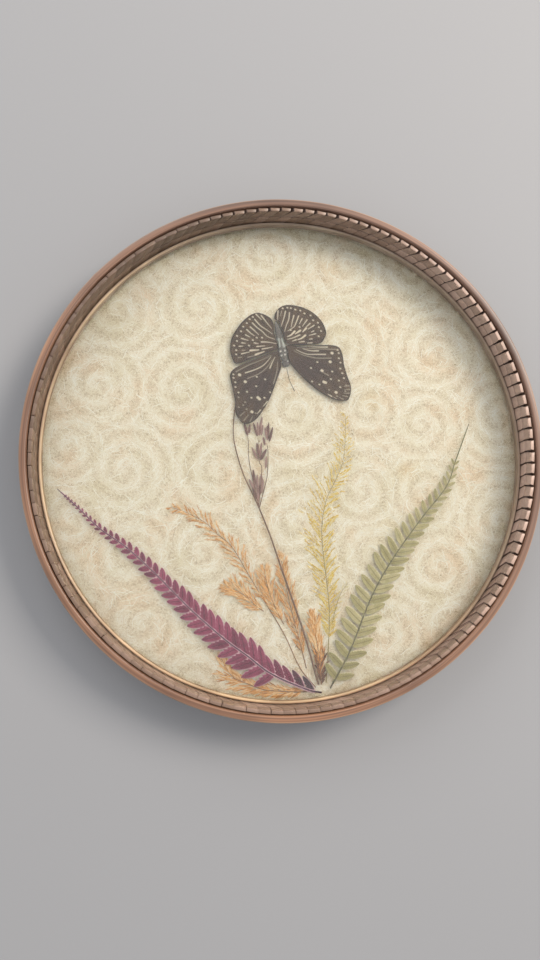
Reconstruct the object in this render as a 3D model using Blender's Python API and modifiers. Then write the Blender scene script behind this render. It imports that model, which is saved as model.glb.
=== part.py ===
# A round bamboo tray-frame with a butterfly, ferns and grasses pressed under a clear cover.
# It lies on its back, face up. Metres, +Z up, the origin under the middle of its foot.

import math

import bmesh
import bpy
from mathutils import Euler, Vector

MM = 0.001
FIT_GAP = 0.3 * MM

# The whole tray
TRAY_RADIUS = 152.5 * MM
TRAY_HEIGHT = 29.0 * MM
HOOP_STEPS = 60                # straight runs round each bent hoop

# The foot of the wall and the floor in it
BASE_HOOP_INNER = 148.4 * MM
BASE_HOOP_HEIGHT = 6.5 * MM
BASE_HOOP_OUTER = TRAY_RADIUS - 0.5 * MM
BOARD_RADIUS = BASE_HOOP_INNER - 0.5 * MM
BOARD_BOTTOM = 0.6 * MM
BOARD_THICKNESS = 3.0 * MM
PAPER_RADIUS = BOARD_RADIUS - 0.2 * MM
PAPER_THICKNESS = 0.3 * MM
PAPER_BOTTOM = BOARD_BOTTOM + BOARD_THICKNESS + FIT_GAP
PAPER_TOP = PAPER_BOTTOM + PAPER_THICKNESS

# Four levels of pressed pieces between the paper and the cover, one over another
PRESSED_THICKNESS = 0.3 * MM
LEVEL_STEP = PRESSED_THICKNESS + FIT_GAP
LEVELS = [PAPER_TOP + FIT_GAP + PRESSED_THICKNESS / 2 + level * LEVEL_STEP for level in range(4)]

# The clear cover and the light strip bent round on its edge
COVER_BOTTOM = LEVELS[-1] + PRESSED_THICKNESS / 2 + FIT_GAP
COVER_THICKNESS = 1.5 * MM
COVER_TOP = COVER_BOTTOM + COVER_THICKNESS
COVER_RADIUS = 145.1 * MM
COVE_INNER = 143.8 * MM
COVE_HEIGHT = 4.8 * MM
COVE_SLOPE = 0.6 * MM          # its top falls towards the middle

# The wall of upright slats that runs up inside the rim
SLAT_COUNT = 132
SLAT_INNER = 145.6 * MM
SLAT_OUTER = 148.0 * MM
SLAT_GAP_SHARE = 0.16          # of one slat's pitch
SLAT_GROOVE_DEPTH = 0.6 * MM
SLAT_BOTTOM = PAPER_TOP + FIT_GAP
SLAT_TOP = 27.3 * MM

# The rim: a tall hoop bent round the outside of the slats
RIM_INNER = 148.4 * MM
RIM_BOTTOM = 17.0 * MM
RIM_ROUNDING = 1.1 * MM

# The photograph's camera, in the tray's frame, so that the pressed pieces can be placed
# by the pixel where each one is seen.
PHOTO_MIDDLE = (270.0, 480.0)
PHOTO_FOCAL = 693.3            # pixels: a 26 mm lens on a frame 36 mm high
PHOTO_EYE = Vector((-45.7, -51.4, 423.8)) * MM
PHOTO_TURN = Euler((math.radians(5.1), math.radians(-4.98), 0.0)).to_matrix()

STEM_WIDTH = 0.8 * MM
PRESSED_REACH = COVER_RADIUS - 0.5 * MM   # no pressed piece comes nearer to the wall

parts = None                   # the collection that every piece goes in


def start_scene():
    global parts
    for old in list(bpy.data.objects):
        bpy.data.objects.remove(old, do_unlink=True)
    parts = bpy.data.collections.new("pressed_flower_frame")
    bpy.context.scene.collection.children.link(parts)


def make_material(name, colour, roughness, metallic=0.0, see_through=0.0):
    material = bpy.data.materials.new(name)
    material.use_nodes = True
    shader = material.node_tree.nodes["Principled BSDF"]
    shader.inputs["Base Color"].default_value = (*colour, 1.0)
    shader.inputs["Roughness"].default_value = roughness
    shader.inputs["Metallic"].default_value = metallic
    shader.inputs["Transmission Weight"].default_value = see_through
    return material


def add_piece(name, data, material, location=(0.0, 0.0, 0.0)):
    piece = bpy.data.objects.new(name, data)
    piece.location = location
    data.materials.append(material)
    parts.objects.link(piece)
    return piece


# Pixels to places

def seen_at(x, y):
    """The point of the paper that the photograph shows at pixel x, y."""
    ray = PHOTO_TURN @ Vector((x - PHOTO_MIDDLE[0], PHOTO_MIDDLE[1] - y, -PHOTO_FOCAL))
    point = PHOTO_EYE + ray * ((PAPER_TOP - PHOTO_EYE.z) / ray.z)
    return Vector((point.x, point.y))


def pixel_size():
    """One pixel's width on the paper, in metres."""
    return (seen_at(271.0, 480.0) - seen_at(270.0, 480.0)).length


class Axis:
    """A smooth line on the paper through some pixels, read by its share of the length."""

    def __init__(self, pixels, steps=8):
        knots = [seen_at(*pixel) for pixel in pixels]
        ends = [2 * knots[0] - knots[1]] + knots + [2 * knots[-1] - knots[-2]]
        self.points = []
        for before, start, end, after in zip(ends, ends[1:], ends[2:], ends[3:]):
            for step in range(steps):
                t = step / steps
                self.points.append(0.5 * (
                    2 * start + (end - before) * t
                    + (2 * before - 5 * start + 4 * end - after) * t ** 2
                    + (3 * start - before - 3 * end + after) * t ** 3))
        self.points.append(knots[-1])
        self.reach = [0.0]
        for one, two in zip(self.points, self.points[1:]):
            self.reach.append(self.reach[-1] + (two - one).length)
        self.length = self.reach[-1]

    def at(self, share):
        """The point at this share of the length, and the direction there."""
        goal = min(max(share, 0.0), 1.0) * self.length
        index = 1
        while index < len(self.reach) - 1 and self.reach[index] < goal:
            index += 1
        start, end = self.points[index - 1], self.points[index]
        run = self.reach[index] - self.reach[index - 1]
        return (start.lerp(end, (goal - self.reach[index - 1]) / run),
                (end - start).normalized())


def kept_inside(point):
    """The point itself, or the nearest one that is clear of the wall."""
    return point * min(1.0, PRESSED_REACH / point.length)


def turned(direction, degrees):
    angle = math.radians(degrees)
    return Vector((direction.x * math.cos(angle) - direction.y * math.sin(angle),
                   direction.x * math.sin(angle) + direction.y * math.cos(angle)))


# Outlines of pressed pieces

def ribbon_outline(axis, width_start, width_end, steps):
    """A stem as a narrow flat strip along its axis."""
    left, right = [], []
    for step in range(steps + 1):
        share = step / steps
        point, direction = axis.at(share)
        half = 0.5 * (width_start + (width_end - width_start) * share)
        side = turned(direction, 90.0)
        left.append(point + side * half)
        right.append(point - side * half)
    return left + right[::-1]


def comb_outline(axis, teeth, start, end, reach, lean, belly=0.0, width=STEM_WIDTH,
                 bare_left=0.0):
    """A stem with leaflets or florets along both sides, between two shares of its length.

    reach gives a tooth's length at a share of the toothed stretch, and lean its angle to
    the stem on the left and on the right. A belly above zero rounds the lower edge of each
    tooth, as on a fern's leaflet. The left side may stay bare for a further share.
    """
    sides = []
    for sign, side_lean, bare in ((1.0, lean[0], bare_left), (-1.0, lean[1], 0.0)):
        edge = []
        point, direction = axis.at(0.0)
        edge.append(point + turned(direction, 90.0 * sign) * width / 2)
        if start + bare > 0.05:
            point, direction = axis.at((start + bare) / 2)
            edge.append(point + turned(direction, 90.0 * sign) * width / 2)
        for tooth in range(teeth):
            share = tooth / teeth
            if share < bare:
                continue
            root, direction = axis.at(start + (end - start) * share)
            root = root + turned(direction, 90.0 * sign) * width / 2
            out = turned(direction, side_lean * sign)
            length = reach(share)
            edge.append(root)
            if belly:
                edge.append(root + out * length * 0.55 - direction * length * belly)
            edge.append(root + out * length)
        point, direction = axis.at(end)
        edge.append(point + turned(direction, 90.0 * sign) * width / 3)
        sides.append(edge)
    tip, _ = axis.at(1.0)
    return [kept_inside(point) for point in sides[0] + [tip] + sides[1][::-1]]


def pressed_piece(name, outline, level, material):
    """A flat piece of this outline, lying at one of the levels under the cover."""
    curve = bpy.data.curves.new(name, "CURVE")
    curve.dimensions = "2D"
    curve.fill_mode = "BOTH"
    curve.extrude = PRESSED_THICKNESS / 2
    anchor = outline[0]
    spline = curve.splines.new("POLY")
    spline.points.add(len(outline) - 1)
    for place, point in zip(spline.points, outline):
        place.co = (point.x - anchor.x, point.y - anchor.y, 0.0, 1.0)
    spline.use_cyclic_u = True
    return add_piece(name, curve, material, (anchor.x, anchor.y, LEVELS[level]))


# The tray

def turned_ring(name, section, material):
    """A hoop: its section, given as radius and height, screwed once round the Z axis."""
    mesh = bpy.data.meshes.new(name)
    corners = [(radius, 0.0, height) for radius, height in section]
    edges = [(index, (index + 1) % len(corners)) for index in range(len(corners))]
    mesh.from_pydata(corners, edges, [])
    hoop = add_piece(name, mesh, material)
    screw = hoop.modifiers.new("Screw", "SCREW")
    screw.angle = math.tau
    screw.steps = HOOP_STEPS
    screw.render_steps = HOOP_STEPS
    screw.use_merge_vertices = True
    screw.merge_threshold = 0.00001
    return hoop


def disc(name, radius, bottom, thickness, material):
    mesh = bpy.data.meshes.new(name)
    work = bmesh.new()
    bmesh.ops.create_cone(work, cap_ends=True, segments=HOOP_STEPS, radius1=radius,
                          radius2=radius, depth=thickness)
    work.to_mesh(mesh)
    work.free()
    return add_piece(name, mesh, material, (0.0, 0.0, bottom + thickness / 2))


def make_rim(bamboo):
    turned_ring("rim_hoop", [
        (TRAY_RADIUS - RIM_ROUNDING, TRAY_HEIGHT),
        (TRAY_RADIUS, TRAY_HEIGHT - RIM_ROUNDING),
        (TRAY_RADIUS, RIM_BOTTOM + RIM_ROUNDING / 2),
        (TRAY_RADIUS - RIM_ROUNDING / 2, RIM_BOTTOM),
        (RIM_INNER, RIM_BOTTOM),
        (RIM_INNER, TRAY_HEIGHT - RIM_ROUNDING / 2),
    ], bamboo)


def make_slat_wall(material):
    """The ring of upright slats: a toothed outline outside and another inside."""
    curve = bpy.data.curves.new("slat_wall", "CURVE")
    curve.dimensions = "2D"
    curve.fill_mode = "BOTH"
    curve.extrude = (SLAT_TOP - SLAT_BOTTOM) / 2
    pitch = math.tau / SLAT_COUNT
    for face, groove in ((SLAT_OUTER, SLAT_OUTER - SLAT_GROOVE_DEPTH),
                         (SLAT_INNER, SLAT_INNER + SLAT_GROOVE_DEPTH)):
        rim = []
        for slat in range(SLAT_COUNT):
            angle = slat * pitch
            rim.append((groove, angle))
            rim.append((face, angle + pitch * SLAT_GAP_SHARE / 2))
            rim.append((face, angle + pitch * (1 - SLAT_GAP_SHARE / 2)))
        spline = curve.splines.new("POLY")
        spline.points.add(len(rim) - 1)
        for place, (radius, angle) in zip(spline.points, rim):
            place.co = (radius * math.cos(angle), radius * math.sin(angle), 0.0, 1.0)
        spline.use_cyclic_u = True
    add_piece("slat_wall", curve, material, (0.0, 0.0, (SLAT_TOP + SLAT_BOTTOM) / 2))


def make_base(bamboo, board, paper, clear, cane):
    turned_ring("base_hoop", [
        (BASE_HOOP_OUTER, BASE_HOOP_HEIGHT - RIM_ROUNDING / 2),
        (BASE_HOOP_OUTER, RIM_ROUNDING / 2),
        (BASE_HOOP_OUTER - RIM_ROUNDING / 2, 0.0),
        (BASE_HOOP_INNER, 0.0),
        (BASE_HOOP_INNER, BASE_HOOP_HEIGHT),
    ], bamboo)
    disc("backing_board", BOARD_RADIUS, BOARD_BOTTOM, BOARD_THICKNESS, board)
    disc("fibre_paper", PAPER_RADIUS, PAPER_BOTTOM, PAPER_THICKNESS, paper)
    disc("clear_cover", COVER_RADIUS, COVER_BOTTOM, COVER_THICKNESS, clear)
    bottom = COVER_TOP + FIT_GAP
    turned_ring("cove_strip", [
        (COVER_RADIUS + 0.1 * MM, bottom + COVE_HEIGHT),
        (COVER_RADIUS + 0.1 * MM, bottom),
        (COVE_INNER, bottom),
        (COVE_INNER, bottom + COVE_HEIGHT - COVE_SLOPE),
    ], cane)


# The butterfly, seen from its back with its head towards the bottom of the tray

LEFT_HINDWING = [
    (272.4, 323.5), (267.1, 316.8), (256.1, 313.2), (243.7, 320.6), (232.7, 335.9),
    (230.0, 348.4), (232.2, 358.9), (237.5, 363.9), (256.1, 357.0), (276.2, 349.3),
    (276.4, 343.6), (272.6, 332.1)]
RIGHT_HINDWING = [
    (274.2, 319.0), (276.2, 311.5), (283.9, 305.8), (297.3, 306.3), (310.7, 311.5),
    (321.2, 321.1), (326.0, 332.1), (324.1, 338.8), (319.8, 343.4), (304.9, 345.0),
    (288.2, 343.6), (283.4, 332.1), (279.4, 322.4)]
RIGHT_FOREWING = [
    (288.4, 345.6), (304.0, 346.9), (320.2, 345.2), (336.5, 346.4), (341.8, 353.1),
    (344.2, 366.5), (347.5, 377.1), (350.8, 387.6), (349.4, 397.1), (345.6, 401.0),
    (333.6, 399.5), (316.4, 389.5), (299.2, 374.2), (289.8, 361.3), (288.9, 352.2)]
LEFT_FOREWING = [
    (276.4, 351.2), (262.8, 356.0), (246.6, 362.6), (234.1, 368.9), (230.1, 376.1),
    (232.7, 389.5), (235.1, 402.9), (235.6, 413.4), (241.8, 422.5), (249.4, 423.5),
    (258.1, 417.2), (268.6, 401.0), (276.2, 381.8), (280.2, 365.6), (278.0, 357.0)]
BODY_TAIL = (275.6, 322.0)
BODY_HEAD = (286.0, 367.5)
ANTENNA = [(286.6, 369.2), (289.5, 381.0), (294.4, 391.5)]
BODY_HALF_WIDTH = 2.5 * MM
BODY_HALF_HEIGHT = 1.05 * MM


def body_swell(share):
    """The body's half width, as a share of its widest, from tail 0 to head 1."""
    abdomen = 0.62 * math.sin(math.pi * min(share / 0.62, 1.0)) ** 0.6 if share < 0.62 else 0.0
    thorax = max(0.0, 1.0 - ((share - 0.66) / 0.24) ** 2) ** 0.5
    head = 0.62 * max(0.0, 1.0 - ((share - 0.92) / 0.085) ** 2) ** 0.5
    return max(abdomen, thorax, head, 0.05)


def make_butterfly(wing, body, feeler):
    for name, pixels in (("left_hindwing", LEFT_HINDWING), ("right_hindwing", RIGHT_HINDWING),
                         ("left_forewing", LEFT_FOREWING), ("right_forewing", RIGHT_FOREWING)):
        pressed_piece(name, [seen_at(*pixel) for pixel in pixels], 3, wing)

    tail, head = seen_at(*BODY_TAIL), seen_at(*BODY_HEAD)
    middle = (tail + head) / 2
    half_length = (head - tail).length / 2
    mesh = bpy.data.meshes.new("butterfly_body")
    work = bmesh.new()
    bmesh.ops.create_uvsphere(work, u_segments=8, v_segments=10, radius=1.0)
    for vertex in work.verts:
        along = vertex.co.z
        ring = max(math.sqrt(max(0.0, 1.0 - along ** 2)), 1e-6)
        swell = body_swell((along + 1.0) / 2) if abs(along) < 0.999 else 0.0
        vertex.co = (along * half_length, vertex.co.y / ring * swell * BODY_HALF_WIDTH,
                     vertex.co.x / ring * swell * BODY_HALF_HEIGHT)
    bmesh.ops.recalc_face_normals(work, faces=work.faces)
    work.to_mesh(mesh)
    work.free()
    trunk = add_piece("butterfly_body", mesh, body,
                      (middle.x, middle.y, PAPER_TOP + FIT_GAP + BODY_HALF_HEIGHT))
    trunk.rotation_euler.z = math.atan2(head.y - tail.y, head.x - tail.x)

    pressed_piece("antenna", ribbon_outline(Axis(ANTENNA), 0.35 * MM, 0.45 * MM, 4), 0, feeler)


# The plants

PURPLE_FERN = [
    (321.0, 691.5), (305.0, 688.0), (271.0, 673.0), (247.0, 655.0), (225.0, 639.0),
    (193.0, 611.0), (172.0, 590.0), (152.0, 570.0), (126.5, 547.0), (101.0, 529.0),
    (79.0, 508.0), (57.0, 488.0)]
GREEN_FERN = [
    (329.5, 687.5), (349.0, 651.0), (370.0, 598.0), (391.0, 560.0), (420.0, 519.0),
    (445.0, 487.0), (454.0, 462.0), (468.0, 423.0)]
GRASS_STEM = [
    (318.0, 684.0), (312.5, 664.0), (305.0, 637.0), (294.0, 605.0), (280.0, 565.0),
    (270.0, 536.0), (257.9, 506.0), (244.0, 476.5), (237.0, 455.0), (233.4, 437.0),
    (233.6, 421.0), (235.5, 404.0)]
GRASS_HEAD = [(260.3, 503.0), (258.5, 480.0), (260.5, 455.0), (262.0, 424.0)]
ORANGE_LONG = [
    (315.5, 687.0), (300.0, 668.0), (284.0, 634.0), (265.5, 603.0), (248.0, 574.0),
    (232.0, 547.0), (217.0, 534.0), (205.0, 522.5), (185.0, 512.0), (169.0, 507.0)]
ORANGE_SHORT = [(263.5, 611.0), (255.0, 605.0), (242.0, 593.5), (224.5, 585.0)]
ORANGE_MIDDLE = [(283.5, 624.0), (273.0, 603.0), (267.0, 585.0), (264.0, 568.0)]
ORANGE_RIGHT = [(306.0, 668.0), (299.0, 640.0), (291.0, 610.0), (284.0, 578.0), (280.0, 553.0)]
ORANGE_BASE = [(321.0, 684.0), (319.5, 660.0), (316.0, 640.0), (312.0, 614.0)]
ORANGE_LOW = [
    (310.0, 690.5), (295.0, 691.5), (265.0, 689.5), (244.0, 682.0), (233.0, 677.0),
    (225.5, 666.0), (221.5, 655.0)]
YELLOW_PLUME = [
    (325.8, 683.0), (328.0, 650.0), (329.0, 610.0), (326.0, 578.0), (323.0, 554.0),
    (321.5, 533.0), (323.0, 514.0), (327.5, 496.0), (336.0, 479.0), (343.0, 460.0),
    (345.0, 437.0), (345.0, 412.0)]
PALE_SPRIG = [(332.0, 622.0), (336.0, 605.0), (341.0, 592.0), (348.0, 582.0)]


def make_ferns(plum, sage):
    pixel = pixel_size()
    pressed_piece("purple_fern", comb_outline(
        Axis(PURPLE_FERN), 37, 0.03, 0.96,
        lambda share: pixel * (3.0 + 16.0 * math.sin(math.pi * (0.30 + 0.70 * share)) ** 0.8),
        (55.0, 79.0), belly=0.16, bare_left=0.10), 3, plum)
    pressed_piece("green_fern", comb_outline(
        Axis(GREEN_FERN), 30, 0.05, 0.95,
        lambda share: pixel * (3.5 + 24.0 * math.sin(math.pi * (0.24 + 0.76 * share)) ** 0.9),
        (62.0, 62.0), belly=0.14), 2, sage)


def make_grasses(straw, seed, ochre, yellow, pale):
    pixel = pixel_size()

    def plume(longest, shortest=2.0):
        return lambda share: pixel * (
            shortest + (longest - shortest) * math.sin(math.pi * (0.12 + 0.82 * share)))

    pressed_piece("grass_stem", ribbon_outline(Axis(GRASS_STEM), STEM_WIDTH * 1.2,
                                               STEM_WIDTH * 0.6, 16), 2, straw)
    pressed_piece("grass_head", comb_outline(
        Axis(GRASS_HEAD), 8, 0.08, 0.9, plume(21.0, 12.0), (24.0, 28.0), width=2.4 * MM),
        1, seed)
    for name, line, level, teeth, start, longest, left, right, width in (
            ("orange_long_plume", ORANGE_LONG, 0, 15, 0.50, 11.0, 30.0, 34.0, 1.0),
            ("orange_short_plume", ORANGE_SHORT, 1, 7, 0.05, 11.0, 24.0, 34.0, 1.4),
            ("orange_middle_plume", ORANGE_MIDDLE, 1, 7, 0.15, 14.0, 24.0, 24.0, 1.2),
            ("orange_right_plume", ORANGE_RIGHT, 1, 10, 0.20, 13.0, 20.0, 22.0, 1.2),
            ("orange_base_plume", ORANGE_BASE, 1, 6, 0.20, 13.0, 22.0, 20.0, 1.6),
            ("orange_low_sprig", ORANGE_LOW, 0, 7, 0.08, 14.0, 28.0, 26.0, 1.2)):
        pressed_piece(name, comb_outline(
            Axis(line), teeth, start, 0.96, plume(longest), (left, right), width=width * MM),
            level, ochre)
    pressed_piece("yellow_plume", comb_outline(
        Axis(YELLOW_PLUME), 20, 0.20, 0.97, plume(17.0), (38.0, 36.0)), 0, yellow)
    pressed_piece("pale_sprig", comb_outline(
        Axis(PALE_SPRIG), 5, 0.1, 0.9, plume(6.0), (30.0, 30.0), width=0.5 * MM), 1, pale)


def main():
    start_scene()
    bamboo = make_material("stained_bamboo", (0.27, 0.12, 0.07), 0.42)
    slat_bamboo = make_material("split_bamboo", (0.37, 0.22, 0.13), 0.5)
    cane = make_material("cane_strip", (0.47, 0.30, 0.15), 0.45)
    board = make_material("hardboard", (0.22, 0.13, 0.07), 0.7)
    paper = make_material("mulberry_paper", (0.72, 0.62, 0.42), 0.85)
    clear = make_material("clear_glass", (0.97, 0.98, 0.97), 0.03, see_through=1.0)
    wing = make_material("wing_scales", (0.06, 0.042, 0.034), 0.7)
    body = make_material("insect_body", (0.14, 0.16, 0.17), 0.6)
    feeler = make_material("insect_feeler", (0.10, 0.07, 0.05), 0.6)
    plum = make_material("dyed_fern", (0.20, 0.05, 0.10), 0.7)
    sage = make_material("dried_fern", (0.27, 0.30, 0.13), 0.7)
    straw = make_material("dried_stem", (0.24, 0.14, 0.08), 0.65)
    seed = make_material("seed_husk", (0.26, 0.14, 0.11), 0.7)
    ochre = make_material("orange_plume", (0.58, 0.27, 0.07), 0.75)
    yellow = make_material("yellow_plume", (0.69, 0.51, 0.13), 0.75)
    pale = make_material("pale_plume", (0.72, 0.62, 0.35), 0.75)

    make_rim(bamboo)
    make_slat_wall(slat_bamboo)
    make_base(bamboo, board, paper, clear, cane)
    make_butterfly(wing, body, feeler)
    make_ferns(plum, sage)
    make_grasses(straw, seed, ochre, yellow, pale)


main()
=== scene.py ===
import math
import random

import bmesh
import bpy
import numpy as np
from mathutils import Euler, Matrix, Vector, noise


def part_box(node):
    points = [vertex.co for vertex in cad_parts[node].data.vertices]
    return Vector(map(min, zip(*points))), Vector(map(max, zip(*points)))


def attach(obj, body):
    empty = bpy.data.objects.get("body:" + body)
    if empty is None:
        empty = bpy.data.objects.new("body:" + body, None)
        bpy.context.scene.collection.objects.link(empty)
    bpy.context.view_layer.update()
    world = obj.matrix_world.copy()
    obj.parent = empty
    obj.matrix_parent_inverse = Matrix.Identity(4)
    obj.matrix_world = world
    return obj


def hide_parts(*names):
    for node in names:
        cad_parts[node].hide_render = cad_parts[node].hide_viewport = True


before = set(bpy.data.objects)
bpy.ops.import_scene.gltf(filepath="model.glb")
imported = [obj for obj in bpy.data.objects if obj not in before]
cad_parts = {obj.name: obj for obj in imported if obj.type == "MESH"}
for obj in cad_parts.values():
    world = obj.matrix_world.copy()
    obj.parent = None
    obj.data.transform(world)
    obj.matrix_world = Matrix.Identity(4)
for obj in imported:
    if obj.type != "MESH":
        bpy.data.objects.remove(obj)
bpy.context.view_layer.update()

mm = 0.001   # sizes in the dictionaries are millimetres, and places on the tray are picture pixels

# How the photograph was taken, in the tray's own frame: millimetres, degrees and pixels
photoView = {
    "width": 540,
    "height": 960,
    "lens": 26.0,
    "filmHeight": 36.0,
    "eye": (-45.7, -51.4, 423.8),
    "tilt": (5.1, -4.98, 0.0),
}
focalPixels = photoView["lens"] / photoView["filmHeight"] * photoView["height"]
photoEye = Vector(photoView["eye"]) * mm
photoTurn = Euler([math.radians(angle) for angle in photoView["tilt"]]).to_matrix()
paperLow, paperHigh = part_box("fibre_paper")


# Places and lines

def seenAt(x, y, height=paperHigh.z):
    # the point at this height that the photograph shows at pixel x, y
    middleX, middleY = photoView["width"] / 2, photoView["height"] / 2
    ray = photoTurn @ Vector((x - middleX, middleY - y, -focalPixels))
    point = photoEye + ray * ((height - photoEye.z) / ray.z)
    return Vector((point.x, point.y))


pixel = (seenAt(271, 480) - seenAt(270, 480)).length   # one pixel's width on the paper


def smoothLine(knots, steps, closed=False):
    # a smooth line through the knots, a few short runs between each two
    if closed:
        ring = [knots[-1]] + list(knots) + [knots[0], knots[1]]
    else:
        ring = [2 * knots[0] - knots[1]] + list(knots) + [2 * knots[-1] - knots[-2]]
    points = []
    for before, start, end, after in zip(ring, ring[1:], ring[2:], ring[3:]):
        for step in range(steps):
            t = step / steps
            points.append(0.5 * (2 * start + (end - before) * t
                                 + (2 * before - 5 * start + 4 * end - after) * t ** 2
                                 + (3 * start - before - 3 * end + after) * t ** 3))
    if not closed:
        points.append(knots[-1])
    return points


class Line:
    # a smooth line on the paper, read by its share of the length

    def __init__(self, pixels, steps=8):
        self.points = smoothLine([seenAt(*place) for place in pixels], steps)
        runs = [(two - one).length for one, two in zip(self.points, self.points[1:])]
        self.reach = [0.0]
        for run in runs:
            self.reach.append(self.reach[-1] + run)
        self.length = self.reach[-1]

    def at(self, share):
        goal = min(max(share, 0.0), 1.0) * self.length
        index = 1
        while index < len(self.reach) - 1 and self.reach[index] < goal:
            index += 1
        start, end = self.points[index - 1], self.points[index]
        run = self.reach[index] - self.reach[index - 1]
        return start.lerp(end, (goal - self.reach[index - 1]) / run), (end - start).normalized()


def turned(direction, degrees):
    angle = math.radians(degrees)
    return Vector((direction.x * math.cos(angle) - direction.y * math.sin(angle),
                   direction.x * math.sin(angle) + direction.y * math.cos(angle)))


def midHeight(node):
    low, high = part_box(node)
    return (low.z + high.z) / 2


def placeOn(point, height, direction, length=1.0, width=1.0, thickness=1.0):
    # puts a shape that points along X at this point, heading and size
    sideways = turned(direction, 90)
    matrix = Matrix.Identity(4)
    matrix.col[0] = (direction.x * length, direction.y * length, 0.0, 0.0)
    matrix.col[1] = (sideways.x * width, sideways.y * width, 0.0, 0.0)
    matrix.col[2] = (0.0, 0.0, thickness, 0.0)
    matrix.col[3] = (point.x, point.y, height, 1.0)
    return matrix


def clampInside(point, reach):
    return point * min(1.0, reach / max(point.length, 1e-9))


# Colours and nodes

def hexColour(code):
    channels = [int(code[index:index + 2], 16) / 255 for index in (1, 3, 5)]
    return (*[c / 12.92 if c <= 0.04045 else ((c + 0.055) / 1.055) ** 2.4 for c in channels], 1.0)


def addNode(tree, kind, settings=None, links=None):
    node = tree.nodes.new("ShaderNode" + kind)
    for name, value in (settings or {}).items():
        if name == "stops":
            while len(node.color_ramp.elements) < len(value):
                node.color_ramp.elements.new(0.5)
            for element, (place, colour) in zip(node.color_ramp.elements, value):
                element.position = place
                element.color = hexColour(colour)
        elif isinstance(name, str) and hasattr(node, name):
            setattr(node, name, value)
        else:
            node.inputs[name].default_value = value
    for name, source in (links or {}).items():
        tree.links.new(source, node.inputs[name])
    return node


def startMaterial(name, settings):
    material = bpy.data.materials.new(name)
    material.use_nodes = True
    tree = material.node_tree
    shader = tree.nodes["Principled BSDF"]
    for socket, value in settings.items():
        shader.inputs[socket].default_value = value
    place = addNode(tree, "TexCoord").outputs["Object"]
    return material, tree, shader, place


def endBump(tree, shader, height, depth):
    bump = addNode(tree, "Bump", {"Strength": 1.0, "Distance": depth}, {"Height": height})
    tree.links.new(bump.outputs["Normal"], shader.inputs["Normal"])


def hoopGrain(tree, place, settings):
    # bamboo fibres that run round the hoop: slow along it, fine across its height and depth
    parts = addNode(tree, "SeparateXYZ", links={0: place})
    flat = addNode(tree, "CombineXYZ", links={0: parts.outputs[0], 1: parts.outputs[1]})
    radius = addNode(tree, "VectorMath", {"operation": "LENGTH"}, {0: flat.outputs[0]})
    across = 1.0 / (settings["fibreWidth"] * mm)
    along = 1.0 / (settings["fibreLength"] * mm)
    scaled = addNode(tree, "VectorMath", {"operation": "MULTIPLY", 1: (along, along, across)},
                     {0: place})
    depth = addNode(tree, "Math", {"operation": "MULTIPLY", 1: across}, {0: radius.outputs["Value"]})
    return addNode(tree, "TexNoise", {"noise_dimensions": "4D", "Scale": 1.0, "Detail": 4.0,
                                      "Roughness": 0.6},
                   {"Vector": scaled.outputs[0], "W": depth.outputs[0]}).outputs["Fac"]


def makeHoopBamboo(name, settings):
    # split bamboo bent round and varnished: long fine streaks under a satin gloss, with painted light
    # that makes it redder and lighter where the light falls, and a painted highlight along one edge
    material, tree, shader, place = startMaterial(name, {
        "IOR": 1.5, "Coat Weight": settings["coat"], "Coat Roughness": 0.22})
    grain = hoopGrain(tree, place, settings)
    broad = addNode(tree, "TexNoise", {"Scale": 1.0 / (settings["patch"] * mm), "Detail": 2.0},
                    {"Vector": place})
    streaks = addNode(tree, "ValToRGB", {"stops": settings["streaks"]}, {"Fac": grain})
    stain = addNode(tree, "ValToRGB", {"stops": settings["stain"]}, {"Fac": broad.outputs["Fac"]})
    # painted light: redder, lighter streaks where the light falls on the hoop
    paintedLitColour = addNode(tree, "ValToRGB", {"stops": settings["paintedLitStreaks"]}, {"Fac": grain})
    warm = addNode(tree, "Attribute", {"attribute_name": "warm"})
    toned = addNode(tree, "Mix", {"data_type": "RGBA"}, {
        0: warm.outputs["Fac"], 6: streaks.outputs["Color"], 7: paintedLitColour.outputs["Color"]})
    mixed = addNode(tree, "Mix", {"data_type": "RGBA", "blend_type": "MULTIPLY", 0: 1.0},
                    {6: toned.outputs[2], 7: stain.outputs["Color"]})
    # painted highlight along one corner of the section, broken up by the broad noise
    highlightRead = addNode(tree, "Attribute", {"attribute_name": "worn"})
    highlightShare = addNode(tree, "Math", {"operation": "MULTIPLY"},
                     {0: highlightRead.outputs["Fac"], 1: broad.outputs["Fac"]})
    bare = addNode(tree, "Mix", {"data_type": "RGBA", 7: hexColour(settings["worn"])},
                   {0: highlightShare.outputs[0], 6: mixed.outputs[2]})
    tree.links.new(bare.outputs[2], shader.inputs["Base Color"])
    gloss = addNode(tree, "MapRange", {"To Min": settings["gloss"][0], "To Max": settings["gloss"][1]},
                    {"Value": grain})
    tree.links.new(gloss.outputs[0], shader.inputs["Roughness"])
    endBump(tree, shader, grain, settings["relief"] * mm)
    return material


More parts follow.
